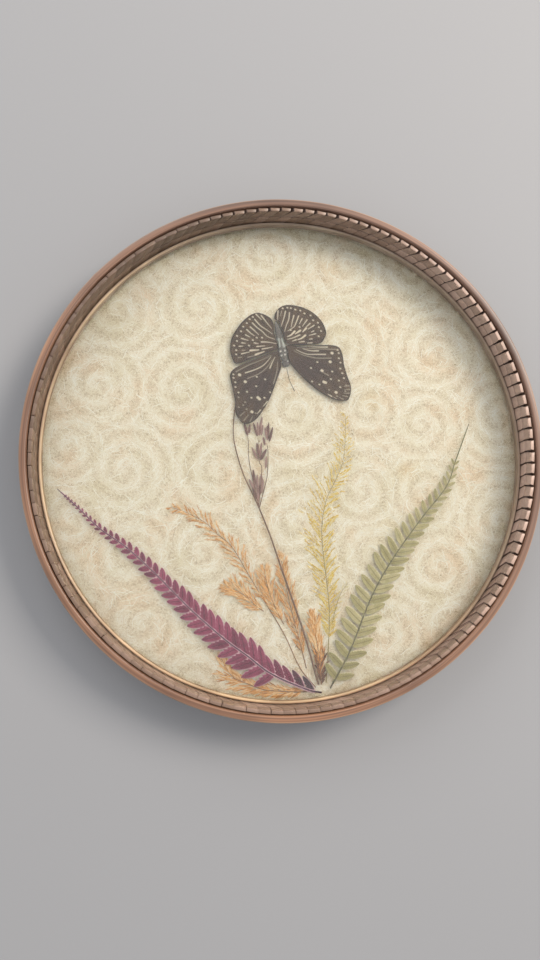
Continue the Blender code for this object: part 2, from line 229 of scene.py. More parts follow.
def makeSlatBamboo(name, settings):
    # short split slats stood upright: each its own shade, partly at random and partly painted light and
    # shade by its place round the tray, with fine upright fibres and painted shade on its sides and top
    material, tree, shader, place = startMaterial(name, {"IOR": 1.5, "Coat Weight": 0.25,
                                                         "Coat Roughness": 0.3})
    across = 1.0 / (settings["fibreWidth"] * mm)
    along = 1.0 / (settings["fibreLength"] * mm)
    scaled = addNode(tree, "VectorMath", {"operation": "MULTIPLY", 1: (across, across, along)},
                     {0: place})
    grain = addNode(tree, "TexNoise", {"Scale": 1.0, "Detail": 3.0, "Roughness": 0.6},
                    {"Vector": scaled.outputs[0]})
    shade = addNode(tree, "Attribute", {"attribute_name": "tone"})
    blend = addNode(tree, "Math", {"operation": "MULTIPLY_ADD", 1: 0.45}, {
        0: grain.outputs["Fac"], 2: shade.outputs["Fac"]})
    ramp = addNode(tree, "ValToRGB", {"stops": settings["shades"]}, {"Fac": blend.outputs[0]})
    # painted shade on the slat's sides, in the gaps between slats, and on its top end
    cut = addNode(tree, "Attribute", {"attribute_name": "cut"})
    sides = addNode(tree, "Mix", {"data_type": "RGBA", 7: hexColour(settings["cut"])},
                    {0: cut.outputs["Fac"], 6: ramp.outputs["Color"]})
    tree.links.new(sides.outputs[2], shader.inputs["Base Color"])
    shader.inputs["Roughness"].default_value = settings["roughness"]
    endBump(tree, shader, grain.outputs["Fac"], settings["relief"] * mm)
    return material


def makeHardboard(settings):
    # pressed wood fibre board: a flat dull brown with short felted flecks
    material, tree, shader, place = startMaterial("pressedHardboard", {"IOR": 1.5, "Roughness": 0.72})
    fleck = addNode(tree, "TexNoise", {"Scale": 1.0 / (settings["fleck"] * mm), "Detail": 6.0,
                                       "Roughness": 0.7}, {"Vector": place})
    ramp = addNode(tree, "ValToRGB", {"stops": settings["shades"]}, {"Fac": fleck.outputs["Fac"]})
    tree.links.new(ramp.outputs["Color"], shader.inputs["Base Color"])
    endBump(tree, shader, fleck.outputs["Fac"], settings["relief"] * mm)
    return material


def makeClearCover():
    # a clear polished sheet: seen only by its faint reflections
    material, tree, shader, place = startMaterial("clearPolishedSheet", {
        "Base Color": hexColour("#FBFCFA"), "Roughness": 0.0, "IOR": 1.49,
        "Transmission Weight": 1.0})
    return material


# Building pieces

def newPiece(name, bm, material, nodes=(), sharpAngle=45.0, thickness=0.0, recalc=True):
    name = name.replace("_", "-")
    if recalc:
        bmesh.ops.recalc_face_normals(bm, faces=bm.faces)
    mesh = bpy.data.meshes.new(name)
    bm.to_mesh(mesh)
    bm.free()
    mesh.shade_smooth()
    mesh.set_sharp_from_angle(angle=math.radians(sharpAngle))
    mesh.materials.append(material)
    piece = bpy.data.objects.new(name, mesh)
    bpy.context.scene.collection.objects.link(piece)
    if thickness:
        solid = piece.modifiers.new("Thickness", "SOLIDIFY")
        solid.thickness = thickness
        solid.offset = 0.0
    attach(piece, "root")
    if nodes:
        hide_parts(*nodes)
    return piece


def stampShape(bm, shape, matrix, tone=None):
    # adds a placed copy of a small ready mesh
    copy = shape.copy()
    if tone is not None:
        values = np.full(len(copy.vertices), tone, np.float32)
        copy.attributes["tone"].data.foreach_set("value", values)
    copy.transform(matrix)
    bm.from_mesh(copy)
    bpy.data.meshes.remove(copy)


def readyShape(name, bm):
    # turns a bmesh into a small mesh for stamping, with its tone attribute
    mesh = bpy.data.meshes.new(name)
    if "tone" not in bm.verts.layers.float:
        bm.verts.layers.float.new("tone")
    bm.to_mesh(mesh)
    bm.free()
    return mesh


quarter = Matrix.Rotation(math.radians(90), 4, "Y")   # stands a flat ring across X


def startRing(bm, sides, radius, matrix):
    # the closed root of a stem or a fibre
    ring = bmesh.ops.create_circle(bm, cap_ends=False, segments=sides, radius=radius, matrix=matrix)
    edges = list(dict.fromkeys(edge for vert in ring["verts"] for edge in vert.link_edges))
    bmesh.ops.edgeloop_fill(bm, edges=edges)
    return edges


def growRing(bm, edges):
    # extrudes the open ring once, and gives its new vertices and edges
    grown = bmesh.ops.extrude_edge_only(bm, edges=edges)["geom"]
    verts = [item for item in grown if isinstance(item, bmesh.types.BMVert)]
    return verts, [item for item in grown if isinstance(item, bmesh.types.BMEdge)]


def layStem(bm, line, height, widths, steps, squeeze, span=(0.0, 1.0), sides=6):
    # a pressed stem: a ring of edges extruded step by step along its line
    def ringPlace(share):
        part = (share - span[0]) / (span[1] - span[0])
        half = 0.5 * (widths[0] + (widths[1] - widths[0]) * part) * mm
        point, direction = line.at(share)
        return placeOn(point, height, direction, half, half, half * squeeze)

    before = ringPlace(span[0])
    edges = startRing(bm, sides, 1.0, before @ quarter)
    for step in range(1, steps + 1):
        after = ringPlace(span[0] + (span[1] - span[0]) * step / steps)
        verts, edges = growRing(bm, edges)
        bmesh.ops.transform(bm, matrix=after @ before.inverted(), verts=verts)
        before = after
    bmesh.ops.edgeloop_fill(bm, edges=edges)


def spinRound(bm, steps):
    # spins a section once round the tray and closes it
    bmesh.ops.spin(bm, geom=bm.verts[:] + bm.edges[:], cent=(0, 0, 0), axis=(0, 0, 1),
                   angle=math.tau, steps=steps, use_merge=True)
    bmesh.ops.remove_doubles(bm, verts=bm.verts, dist=0.00001)


# The tray: hoops, slats, strip and board

hoopSettings = {
    "steps": 300,              # round the tray
    "segments": 4,             # in each rounded corner
    "rounding": {"rim_hoop": 1.1, "base_hoop": 0.8, "cove_strip": 0.35},
    "slope": {"cove_strip": 0.6},
    # where the painted highlight lies on each section, how far it reaches, and how strong it is round the
    # tray
    "highlightCorner": {"rim_hoop": 2, "base_hoop": 2, "cove_strip": 3},   # counted round the section
    "highlightReach": {"rim_hoop": 0.8, "base_hoop": 1.5, "cove_strip": 3.2},   # in roundings
    "highlightTurns": {"cove_strip": [(-90, 1.0), (-50, 0.5), (-10, 0.25), (95, 0.25), (140, 0.7),
                                 (185, 1.0)]},
    # painted light: the hoops are redder and lighter at the foot of the picture, where the light falls,
    # given by angle
    "warm": [(-90, 1.0), (-50, 0.85), (-20, 0.35), (20, 0.1), (90, 0.05), (140, 0.3), (185, 0.7),
             (235, 1.0)],
    "wobble": 0.10,            # how far a bent hoop strays from round
    "wobbleReach": 60.0,
    "nodeAngles": (23.0, 137.0, 214.0, 318.0),
    "nodeSwell": 0.16,
    "nodeWidth": 1.1,
}


def roundTray(pairs, angle):
    # reads a value that is given at some angles round the tray
    angles, values = zip(*pairs)
    return float(np.interp(math.degrees(angle), angles, values, period=360))


def spinHoop(bm, node, inner, outer, bottom, top):
    # a rounded strip section, spun once round the tray, with the corner marked where a highlight is
    # painted and the side marked where painted light falls
    rounding = hoopSettings["rounding"][node] * mm
    slope = hoopSettings["slope"].get(node, 0.0) * mm
    places = ((inner, bottom), (outer, bottom), (outer, top), (inner, top - slope))
    corners = [bm.verts.new((radius, 0.0, height)) for radius, height in places]
    bm.faces.new(corners)
    bmesh.ops.bevel(bm, geom=corners, offset=rounding, segments=hoopSettings["segments"],
                    profile=0.5, affect="VERTICES", material=-1)
    bmesh.ops.delete(bm, geom=bm.faces[:], context="FACES_ONLY")
    worn = bm.verts.layers.float.new("worn")
    corner = Vector(places[hoopSettings["highlightCorner"][node]])
    for vert in bm.verts:
        away = (Vector((vert.co.x, vert.co.z)) - corner).length
        vert[worn] = max(0.0, 1.0 - away / (rounding * hoopSettings["highlightReach"][node]))
    spinRound(bm, hoopSettings["steps"])
    # painted light by angle, and the painted highlight made weaker by angle where the light falls less
    warm = bm.verts.layers.float.new("warm")
    worn = bm.verts.layers.float["worn"]
    for vert in bm.verts:
        angle = math.atan2(vert.co.y, vert.co.x)
        vert[warm] = roundTray(hoopSettings["warm"], angle)
        vert[worn] *= roundTray(hoopSettings["highlightTurns"].get(node, [(0, 1.0)]), angle)


def bendByHand(bm, seed, swell):
    # no bent strip is a true circle, and the bamboo's own joints stand a little proud
    reach = hoopSettings["wobbleReach"] * mm
    for vert in bm.verts:
        out = Vector((vert.co.x, vert.co.y, 0.0)).normalized()
        shift = noise.noise(Vector((vert.co.x / reach, vert.co.y / reach, seed)))
        vert.co += out * min(0.0, shift * hoopSettings["wobble"] * mm)
        for degrees in hoopSettings["nodeAngles"] if swell else ():
            away = math.atan2(out.y, out.x) - math.radians(degrees + seed)
            away = math.atan2(math.sin(away), math.cos(away)) * vert.co.xy.length / mm
            vert.co += out * swell * mm * math.exp(-(away / hoopSettings["nodeWidth"]) ** 2)


def makeHoops():
    hoops = (("rim_hoop", rimBamboo, "stained_bamboo", 1.0, hoopSettings["nodeSwell"]),
             ("base_hoop", baseBamboo, "stained_bamboo", 3.0, hoopSettings["nodeSwell"]),
             ("cove_strip", coveCane, "cane_strip", 4.0, 0.0))
    for node, material, slot, seed, swell in hoops:
        verts = [vert.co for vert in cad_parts[node].data.vertices]
        inner = min(co.xy.length for co in verts)
        outer = max(co.xy.length for co in verts)
        low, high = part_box(node)
        bm = bmesh.new()
        spinHoop(bm, node, inner, outer, low.z, high.z)
        bendByHand(bm, seed, swell)
        newPiece(node + "-bent", bm, material, [node], sharpAngle=60)
    print("hoops done")


slatSettings = {
    "count": 132,
    "thickness": 2.0,
    "rounding": 0.22,
    "backLap": 0.3,            # neighbours meet at their backs; the gaps below open inwards
    "louvres": [(-45, 4), (95, 4), (125, 1.5), (290, 1.5)],   # how far a slat turns
    "sideShadeTurns": [(-60, 0.2), (-25, 0.8), (95, 1.0), (125, 0.25), (285, 0.2)],   # painted shade on its sides, in the gaps between slats
    "split": 19.65,            # the height where the upper row stands on the lower one
    "splitGap": 0.45,
    "notch": 1.3,              # how far below its top a slat starts to draw in, and by what share
    "notchShares": [(-60, 0.03), (-25, 0.09), (95, 0.11), (120, 0.02)],
    "seed": 7,
    # each value is given at some angles round the tray, and read between them
    # painted light and shade: the slats are lighter where the light falls on the wall and darker where it
    # is in shade
    "shades": [(-80, 0.26), (-45, 0.3), (0, 0.55), (45, 0.5), (80, 0.2), (120, 0.0), (180, 0.06),
               (225, 0.22)],
    "shadeSpread": 0.18,
    # painted shade on the slats' top ends, darker at the left and the foot
    "topShadeTurns": [(-40, 0.1), (95, 0.15), (125, 0.35), (290, 0.3)],
    "placeStray": 0.08,        # how far a slat stands, leans and turns from its neighbours
    "leanStray": 1.2,
    "louvreStray": 1.0,
    "lower": {
        "gaps": [(-75, 0.02), (-45, 0.1), (-20, 0.36), (95, 0.32), (120, 0.02)],
        "tapers": [(0, 0.0)],
        "leans": [(-32, 41), (-19, 16), (0, 5), (25, -3), (38, -6), (60, -20), (88, -33),
                  (150, -20), (210, 5), (270, 30)]},
    "upper": {
        "gaps": [(-75, 0.02), (-45, 0.08), (-20, 0.5), (95, 0.5), (120, 0.02)],
        "tapers": [(-60, 0.02), (-25, 0.11), (95, 0.11), (120, 0.02)],
        "leans": [(-32, -8), (0, -6), (27, -3), (40, -12), (60, -26), (87, -39), (150, -25),
                  (210, -5), (270, 0)]},
}


def slatBlock(name, width, bottom, top):
    # one straight slat: bevelled, its sides marked where painted shade will darken them
    rounding = slatSettings["rounding"] * mm
    bm = bmesh.new()
    size = Matrix.Diagonal((slatSettings["thickness"] * mm, width, top - bottom, 1.0))
    place = Matrix.Translation((0.0, 0.0, (top + bottom) / 2))
    bmesh.ops.create_cube(bm, size=1.0, matrix=place @ size)
    bmesh.ops.bevel(bm, geom=bm.edges[:], offset=rounding, segments=2, profile=0.5,
                    affect="EDGES", material=-1)
    bmesh.ops.bisect_plane(bm, geom=bm.verts[:] + bm.edges[:] + bm.faces[:], plane_no=(0, 0, 1),
                           plane_co=(0, 0, top - slatSettings["notch"] * mm))
    cut = bm.verts.layers.float.new("cut")
    for vert in bm.verts:
        vert[cut] = 1.0 if abs(vert.co.y) > width / 2 - rounding * 0.5 else 0.0
    bmesh.ops.recalc_face_normals(bm, faces=bm.faces)
    return readyShape(name, bm)


def makeSlatWall():
    rng = random.Random(slatSettings["seed"])
    low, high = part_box("slat_wall")
    radii = [vert.co.xy.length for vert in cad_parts["slat_wall"].data.vertices]
    middle = (min(radii) + max(radii)) / 2
    pitch = math.tau / slatSettings["count"]
    split, splitGap = slatSettings["split"] * mm, slatSettings["splitGap"] * mm
    notch, rounding = slatSettings["notch"] * mm, slatSettings["rounding"] * mm
    placeStray = slatSettings["placeStray"]
    leanStray, louvreStray = slatSettings["leanStray"], slatSettings["louvreStray"]
    full, thickness = pitch * middle, slatSettings["thickness"] * mm
    fit = 1.0 + slatSettings["backLap"] * mm / full
    rows = (("lower", low.z, split - splitGap / 2), ("upper", split + splitGap / 2, high.z))
    bm = bmesh.new()
    for name, bottom, top in rows:
        row = slatSettings[name]
        block = slatBlock(name + "Slat", full, bottom, top)
        for index in range(slatSettings["count"]):
            angle = index * pitch + rng.uniform(-placeStray, placeStray) * mm / middle
            wedge = (roundTray(row["gaps"], angle) + slatSettings["backLap"]) * mm / full
            notchShare = roundTray(slatSettings["notchShares"], angle)
            taper = roundTray(row["tapers"], angle)
            lean = roundTray(row["leans"], angle) + rng.uniform(-leanStray, leanStray)
            lean = math.tan(math.radians(lean))
            louvre = roundTray(slatSettings["louvres"], angle)
            louvre = math.tan(math.radians(louvre + rng.uniform(-louvreStray, louvreStray)))
            # painted light and shade by the slat's place round the tray, then a random share of its own
            shade = roundTray(slatSettings["shades"], angle)
            shade += rng.uniform(0.0, slatSettings["shadeSpread"])
            topShadeHere = roundTray(slatSettings["topShadeTurns"], angle)
            sideShadeHere = roundTray(slatSettings["sideShadeTurns"], angle)
            first = len(bm.verts)
            bm.from_mesh(block)
            bm.verts.ensure_lookup_table()
            tone, cut = bm.verts.layers.float["tone"], bm.verts.layers.float["cut"]
            for vert in bm.verts[first:]:
                rise = (vert.co.z - bottom) / (top - bottom)
                drawn = notchShare * max(0.0, (vert.co.z - top) / notch + 1.0)
                inwards = 0.5 - vert.co.x / thickness
                across = vert.co.y * (fit - wedge * inwards - taper * rise - drawn)
                # painted shade on the sides and on the top end, by the slat's place round the tray
                vert[cut] *= sideShadeHere
                if vert.co.z > top - rounding * 0.5:
                    vert[cut] = max(vert[cut], topShadeHere)
                radius = middle + vert.co.x + across * louvre
                around = angle + (across + (vert.co.z - split) * lean) / middle
                vert.co.x, vert.co.y = radius * math.cos(around), radius * math.sin(around)
                vert[tone] = shade
    newPiece("wall-slats", bm, slatBamboo, ["slat_wall"], recalc=False)
    print("slat wall done")


# the rim: stained and varnished, with painted light that makes it redder and lighter at the foot, and a
# painted highlight pale along its upper edge
rimBamboo = makeHoopBamboo("varnishedRimBamboo", {
    "fibreWidth": 0.9, "fibreLength": 90.0, "patch": 45.0, "coat": 0.2, "gloss": (0.38, 0.56),
    "relief": 0.05, "worn": "#DDB692",
    "streaks": [(0.25, "#42332C"), (0.45, "#624B40"), (0.6, "#765B4C"), (0.8, "#967868")],
    "paintedLitStreaks": [(0.25, "#584032"), (0.45, "#7A5A46"), (0.6, "#906C52"), (0.8, "#AE8A66")],
    "stain": [(0.3, "#CFC4BE"), (0.5, "#F4ECE6"), (0.7, "#FFF4EC")]})
# the hoop at the foot of the wall: the same bamboo, stained darker and duller, with the same painted
# light and painted highlight
baseBamboo = makeHoopBamboo("darkFootBamboo", {
    "fibreWidth": 0.8, "fibreLength": 65.0, "patch": 40.0, "coat": 0.25, "gloss": (0.4, 0.58),
    "relief": 0.05, "worn": "#A88464",
    "streaks": [(0.25, "#3A2A22"), (0.5, "#523C30"), (0.8, "#70543F")],
    "paintedLitStreaks": [(0.25, "#4C3428"), (0.5, "#6A4A3A"), (0.8, "#8A644C")],
    "stain": [(0.3, "#D0C8C4"), (0.7, "#FFFFFF")]})
# the strip on the cover: split cane without stain, with a painted highlight pale along its upper edge,
# strongest at the foot and the left, and painted light making it warmer there
coveCane = makeHoopBamboo("paleCaneStrip", {
    "fibreWidth": 0.6, "fibreLength": 40.0, "patch": 26.0, "coat": 0.2, "gloss": (0.4, 0.6),
    "relief": 0.04, "worn": "#E8CEA4",
    "streaks": [(0.25, "#6E5E54"), (0.5, "#92806F"), (0.8, "#AC9A8A")],
    "paintedLitStreaks": [(0.25, "#6E523A"), (0.5, "#8E6C4C"), (0.8, "#AC8660")],
    "stain": [(0.3, "#CFC6BE"), (0.7, "#FFFFFF")]})
# the slats: sawn bamboo, grey-brown to tan, with painted shade on their sides
slatBamboo = makeSlatBamboo("splitSlatBamboo", {
    "fibreWidth": 0.35, "fibreLength": 6.0, "roughness": 0.46, "relief": 0.05, "cut": "#3E2C24",
    "shades": [(0.2, "#5C483A"), (0.42, "#765E4C"), (0.6, "#8E7464"), (0.85, "#B89C8C")]})

makeHoops()
makeSlatWall()

hardboard = makeHardboard({
    "fleck": 2.2, "relief": 0.05,
    "shades": [(0.3, "#5E4331"), (0.5, "#71523C"), (0.7, "#8A6850")]})
for node, material in (("backing_board", hardboard), ("clear_cover", makeClearCover())):
    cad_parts[node].data.materials.clear()
    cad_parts[node].data.materials.append(material)


# The paper and its long fibres

paperSettings = {
    "rings": 66,               # the sheet's mesh: rings out from the middle, and steps round
    "turns": 240,
    "swirlPitch": 10.7,        # from one turn of a swirl to the next
    "phase": 0.25,             # where in its turn a swirl's fibres lie
    "centres": [               # the swirls that can be seen in the photograph
        (266, 256), (118, 310), (200, 307), (97, 385), (184, 392), (125, 469), (220, 472),
        (203, 552), (362, 490), (370, 410), (421, 424), (434, 354), (340, 346), (348, 266),
        (439, 568), (386, 632), (296, 412), (68, 448), (72, 520), (144, 624), (296, 524)],
    "spacing": 38.0,           # between the other swirls, which fill the sheet
    "attempts": 4000,
    "ownShare": 0.85,          # how near another swirl may be to a turn's fibres
    "turnChoices": (1, 2, 2, 3, 3, 3),
    "seed": 21,
    "swirlFibres": 7200,
    "crossFibres": 4200,       # laid loosely round the swirls
    "looseFibres": 2800,
    "strays": {"swirlFibres": (1.1, 20), "crossFibres": (2.4, 60)},   # in place and in degrees
    "shapes": 6,               # different fibres for each turn
    "steps": 4,                # in a fibre's length
    "curls": (0.22, 0.09, 0.05),   # how far a fibre turns at each step, from the inner turn out
    "fibreLength": (2.6, 7.5),
    "fibreHalf": 0.032,        # a fibre's half width as a share of its length
    "fibreKink": 0.2,          # radians
    "fibreTip": 0.4,
    "fibreRise": 0.05,
    "margin": 6.0,             # how far the fibres stay from the sheet's edge
}


def findSwirls():
    # the swirls that the photograph shows, then others where there is room
    rng = random.Random(paperSettings["seed"])
    swirls = [seenAt(*place) for place in paperSettings["centres"]]
    reach = paperHigh.x
    for attempt in range(paperSettings["attempts"]):
        point = Vector((rng.uniform(-reach, reach), rng.uniform(-reach, reach)))
        gap = min((point - other).length for other in swirls)
        if point.length < reach and gap > paperSettings["spacing"] * mm:
            swirls.append(point)
    return swirls


def makePaper(material, swirls):
    # a round sheet, spun from its section; each face knows its place in the nearest swirl
    rings = paperSettings["rings"]
    places = [(0.0, paperLow.z), (paperHigh.x, paperLow.z)]
    places += [(paperHigh.x * (1 - ring / rings), paperHigh.z) for ring in range(rings + 1)]
    bm = bmesh.new()
    verts = [bm.verts.new((radius, 0.0, height)) for radius, height in places]
    for one, two in zip(verts, verts[1:]):
        bm.edges.new((one, two))
    spinRound(bm, paperSettings["turns"])
    spot = bm.loops.layers.float_vector.new("swirlPlace")
    for face in bm.faces:
        middle = face.calc_center_median().xy
        swirl = min(swirls, key=lambda other: (other - middle).length)
        for loop in face.loops:
            offset = loop.vert.co.xy - swirl
            loop[spot] = (offset.x, offset.y, 0.0)
    newPiece("fibre-paper-sheet", bm, material, ["fibre_paper"])


def fibreShape(seed, turn):
    # one long paper fibre: a thin three-sided thread that curls as it is extruded
    rng = random.Random(seed)
    bm = bmesh.new()
    edges = startRing(bm, 3, paperSettings["fibreHalf"], quarter)
    steps, kink = paperSettings["steps"], paperSettings["fibreKink"]
    heading, place = -0.5 * (steps + 1) * turn, Vector((0, 0, 0))
    for step in range(steps):
        verts, edges = growRing(bm, edges)
        heading += turn + rng.uniform(-kink, kink)
        move = Vector((math.cos(heading), math.sin(heading), 0)) / steps
        place = place + move
        swell = 1.0 if step < steps - 1 else paperSettings["fibreTip"]
        bmesh.ops.translate(bm, verts=verts, vec=move)
        bmesh.ops.scale(bm, verts=verts, vec=(swell, swell, swell),
                        space=Matrix.Translation(-place))
    bmesh.ops.edgeloop_fill(bm, edges=edges)
    bmesh.ops.recalc_face_normals(bm, faces=bm.faces)
    return readyShape("paperFibre", bm)


def makePaperFibres(material, swirls):
    rng = random.Random(paperSettings["seed"] + 1)
    pitch = paperSettings["swirlPitch"] * mm
    shapes = [[fibreShape(seed, turn) for seed in range(paperSettings["shapes"])]
              for turn in paperSettings["curls"]]
    reach = paperHigh.x - paperSettings["margin"] * mm
    thin = paperSettings["fibreRise"] * mm / paperSettings["fibreHalf"]
    kinds = {kind: bmesh.new() for kind in ("swirlFibres", "crossFibres", "looseFibres")}
    made = dict.fromkeys(kinds, 0)

    def lay(kind, point, heading, shape):
        length = rng.uniform(*paperSettings["fibreLength"]) * mm
        direction = turned(Vector((1, 0)), heading)
        start = point - direction * length / 2
        if max(start.length, (start + direction * length).length) < reach:
            stampShape(kinds[kind], shape,
                       placeOn(start, paperHigh.z, direction, length, length, thin),
                       rng.random())
            made[kind] += 1

    for kind, (scatter, stray) in paperSettings["strays"].items():
        while made[kind] < paperSettings[kind]:
            swirl = rng.choice(swirls)
            turn = rng.choice(paperSettings["turnChoices"])
            angle = rng.uniform(-math.pi, math.pi)
            away = pitch * (turn - angle / math.tau - paperSettings["phase"])
            away += rng.gauss(0, scatter) * mm
            point = swirl + Vector((math.cos(angle), math.sin(angle))) * away
            clear = away * paperSettings["ownShare"]
            if all((point - other).length > clear for other in swirls if other != swirl):
                lay(kind, point, math.degrees(angle) + 90 + rng.gauss(0, stray),
                    rng.choice(shapes[turn - 1]))
    while made["looseFibres"] < paperSettings["looseFibres"]:
        point = Vector((rng.uniform(-reach, reach), rng.uniform(-reach, reach)))
        lay("looseFibres", point, rng.uniform(0, 360), rng.choice(rng.choice(shapes)))
    for kind, name in (("swirlFibres", "laid"), ("crossFibres", "crossed"), ("looseFibres", "loose")):
        newPiece("paper-fibres-" + name, kinds[kind], material, recalc=False)
    print("paper fibres done")


def makeRingPaper(settings):
    # handmade paper with long fibres laid in swirls: cream turns on a browner beige
    material, tree, shader, place = startMaterial("swirlFibrePaper", {
        "IOR": 1.5, "Roughness": 0.86, "Sheen Weight": 0.1})
    ragged = addNode(tree, "TexNoise", {"Scale": 1.0 / (settings["ragged"] * mm), "Detail": 5.0,
                                        "Roughness": 0.65}, {"Vector": place})
    spot = addNode(tree, "Attribute", {"attribute_name": "swirlPlace"})
    away = addNode(tree, "VectorMath", {"operation": "LENGTH"}, {0: spot.outputs["Vector"]})
    parts = addNode(tree, "SeparateXYZ", links={0: spot.outputs["Vector"]})
    turn = addNode(tree, "Math", {"operation": "ARCTAN2"}, {0: parts.outputs[1], 1: parts.outputs[0]})
    strayed = addNode(tree, "Math", {"operation": "MULTIPLY_ADD", 1: settings["stray"]},
                      {0: ragged.outputs["Fac"], 2: turn.outputs[0]})
    wave = addNode(tree, "Math", {"operation": "MULTIPLY_ADD", 1: math.tau / (settings["pitch"] * mm)},
                   {0: away.outputs["Value"], 2: strayed.outputs[0]})
    ring = addNode(tree, "Math", {"operation": "COSINE"}, {0: wave.outputs[0]})
    flecks = addNode(tree, "TexNoise", {"Scale": 1.0 / (settings["fleck"] * mm), "Detail": 4.0,
                                        "Roughness": 0.7, "Distortion": 1.2}, {"Vector": place})
    fleckPart = addNode(tree, "Math", {"operation": "MULTIPLY_ADD", 1: settings["ringShare"]},
                        {0: ring.outputs[0], 2: flecks.outputs["Fac"]})
    last = addNode(tree, "ValToRGB", {"stops": settings["shades"]},
                   {"Fac": fleckPart.outputs[0]}).outputs["Color"]
    mottle = addNode(tree, "TexNoise", {"Scale": 1.0 / (settings["mottle"] * mm), "Detail": 3.0},
                     {"Vector": place})
    tint = addNode(tree, "ValToRGB", {"stops": settings["tints"]}, {"Fac": mottle.outputs["Fac"]})
    last = addNode(tree, "Mix", {"data_type": "RGBA", "blend_type": "MULTIPLY", 0: 1.0},
                   {6: last, 7: tint.outputs["Color"]}).outputs[2]
    for spotPixel, size in settings["stains"]:
        centre = seenAt(*spotPixel)
        gap = addNode(tree, "VectorMath", {"operation": "DISTANCE", 1: (centre.x, centre.y, paperHigh.z)},
                      {0: place})
        share = addNode(tree, "MapRange", {"interpolation_type": "SMOOTHSTEP", "From Min": size * mm,
                                           "From Max": 0.0, "To Max": settings["stainShare"]},
                        {"Value": gap.outputs["Value"]})
        last = addNode(tree, "Mix", {"data_type": "RGBA", 7: hexColour(settings["stain"])},
                       {0: share.outputs[0], 6: last}).outputs[2]
    tree.links.new(last, shader.inputs["Base Color"])
    endBump(tree, shader, flecks.outputs["Fac"], settings["relief"] * mm)
    return material


def makeToneMaterial(name, settings):
    # dry plant matter: each small piece has its own shade, with a fine fibrous fleck
    material, tree, shader, place = startMaterial(name, {
        "IOR": 1.45, "Roughness": settings["roughness"], "Sheen Weight": settings.get("sheen", 0.0)})
    fleck = addNode(tree, "TexNoise", {"Scale": 1.0 / (settings["fleck"] * mm), "Detail": 3.0},
                    {"Vector": place})
    shade = addNode(tree, "Attribute", {"attribute_name": "tone"})
    blend = addNode(tree, "Math", {"operation": "MULTIPLY_ADD", 1: settings["fleckShare"]},
                    {0: fleck.outputs["Fac"], 2: shade.outputs["Fac"]})
    ramp = addNode(tree, "ValToRGB", {"stops": settings["shades"]}, {"Fac": blend.outputs[0]})
    tree.links.new(ramp.outputs["Color"], shader.inputs["Base Color"])
    endBump(tree, shader, fleck.outputs["Fac"], settings["relief"] * mm)
    return material


swirlPaper = makeRingPaper({
    "stray": 2.4, "ragged": 9.0, "pitch": paperSettings["swirlPitch"], "fleck": 0.9,
    "ringShare": 0.05, "relief": 0.06, "mottle": 24.0,
    "shades": [(0.3, "#B8A482"), (0.42, "#E0D0B2"), (0.52, "#F2E8D2"), (0.72, "#FCF7EC")],
    "tints": [(0.3, "#F8ECE0"), (0.5, "#FFFFFF"), (0.7, "#F4F2E8")],
    "stains": [((290, 388), 9.0), ((408, 471), 9.0), ((372, 402), 10.0), ((330, 268), 9.0)],
    "stain": "#DDBC86", "stainShare": 0.4})
# loose fibres on the sheet: matt and cream, the palest of them almost white
paperFibre = makeToneMaterial("longPaperFibre", {
    "roughness": 0.8, "fleck": 3.0, "fleckShare": 0.3, "relief": 0.02,
    "shades": [(0.1, "#DCCCAC"), (0.5, "#EEE4CE"), (1.0, "#FBF7EC")]})

swirlCentres = findSwirls()
makePaper(swirlPaper, swirlCentres)
makePaperFibres(paperFibre, swirlCentres)


# The butterfly, seen from its back with its head towards the bottom of the tray

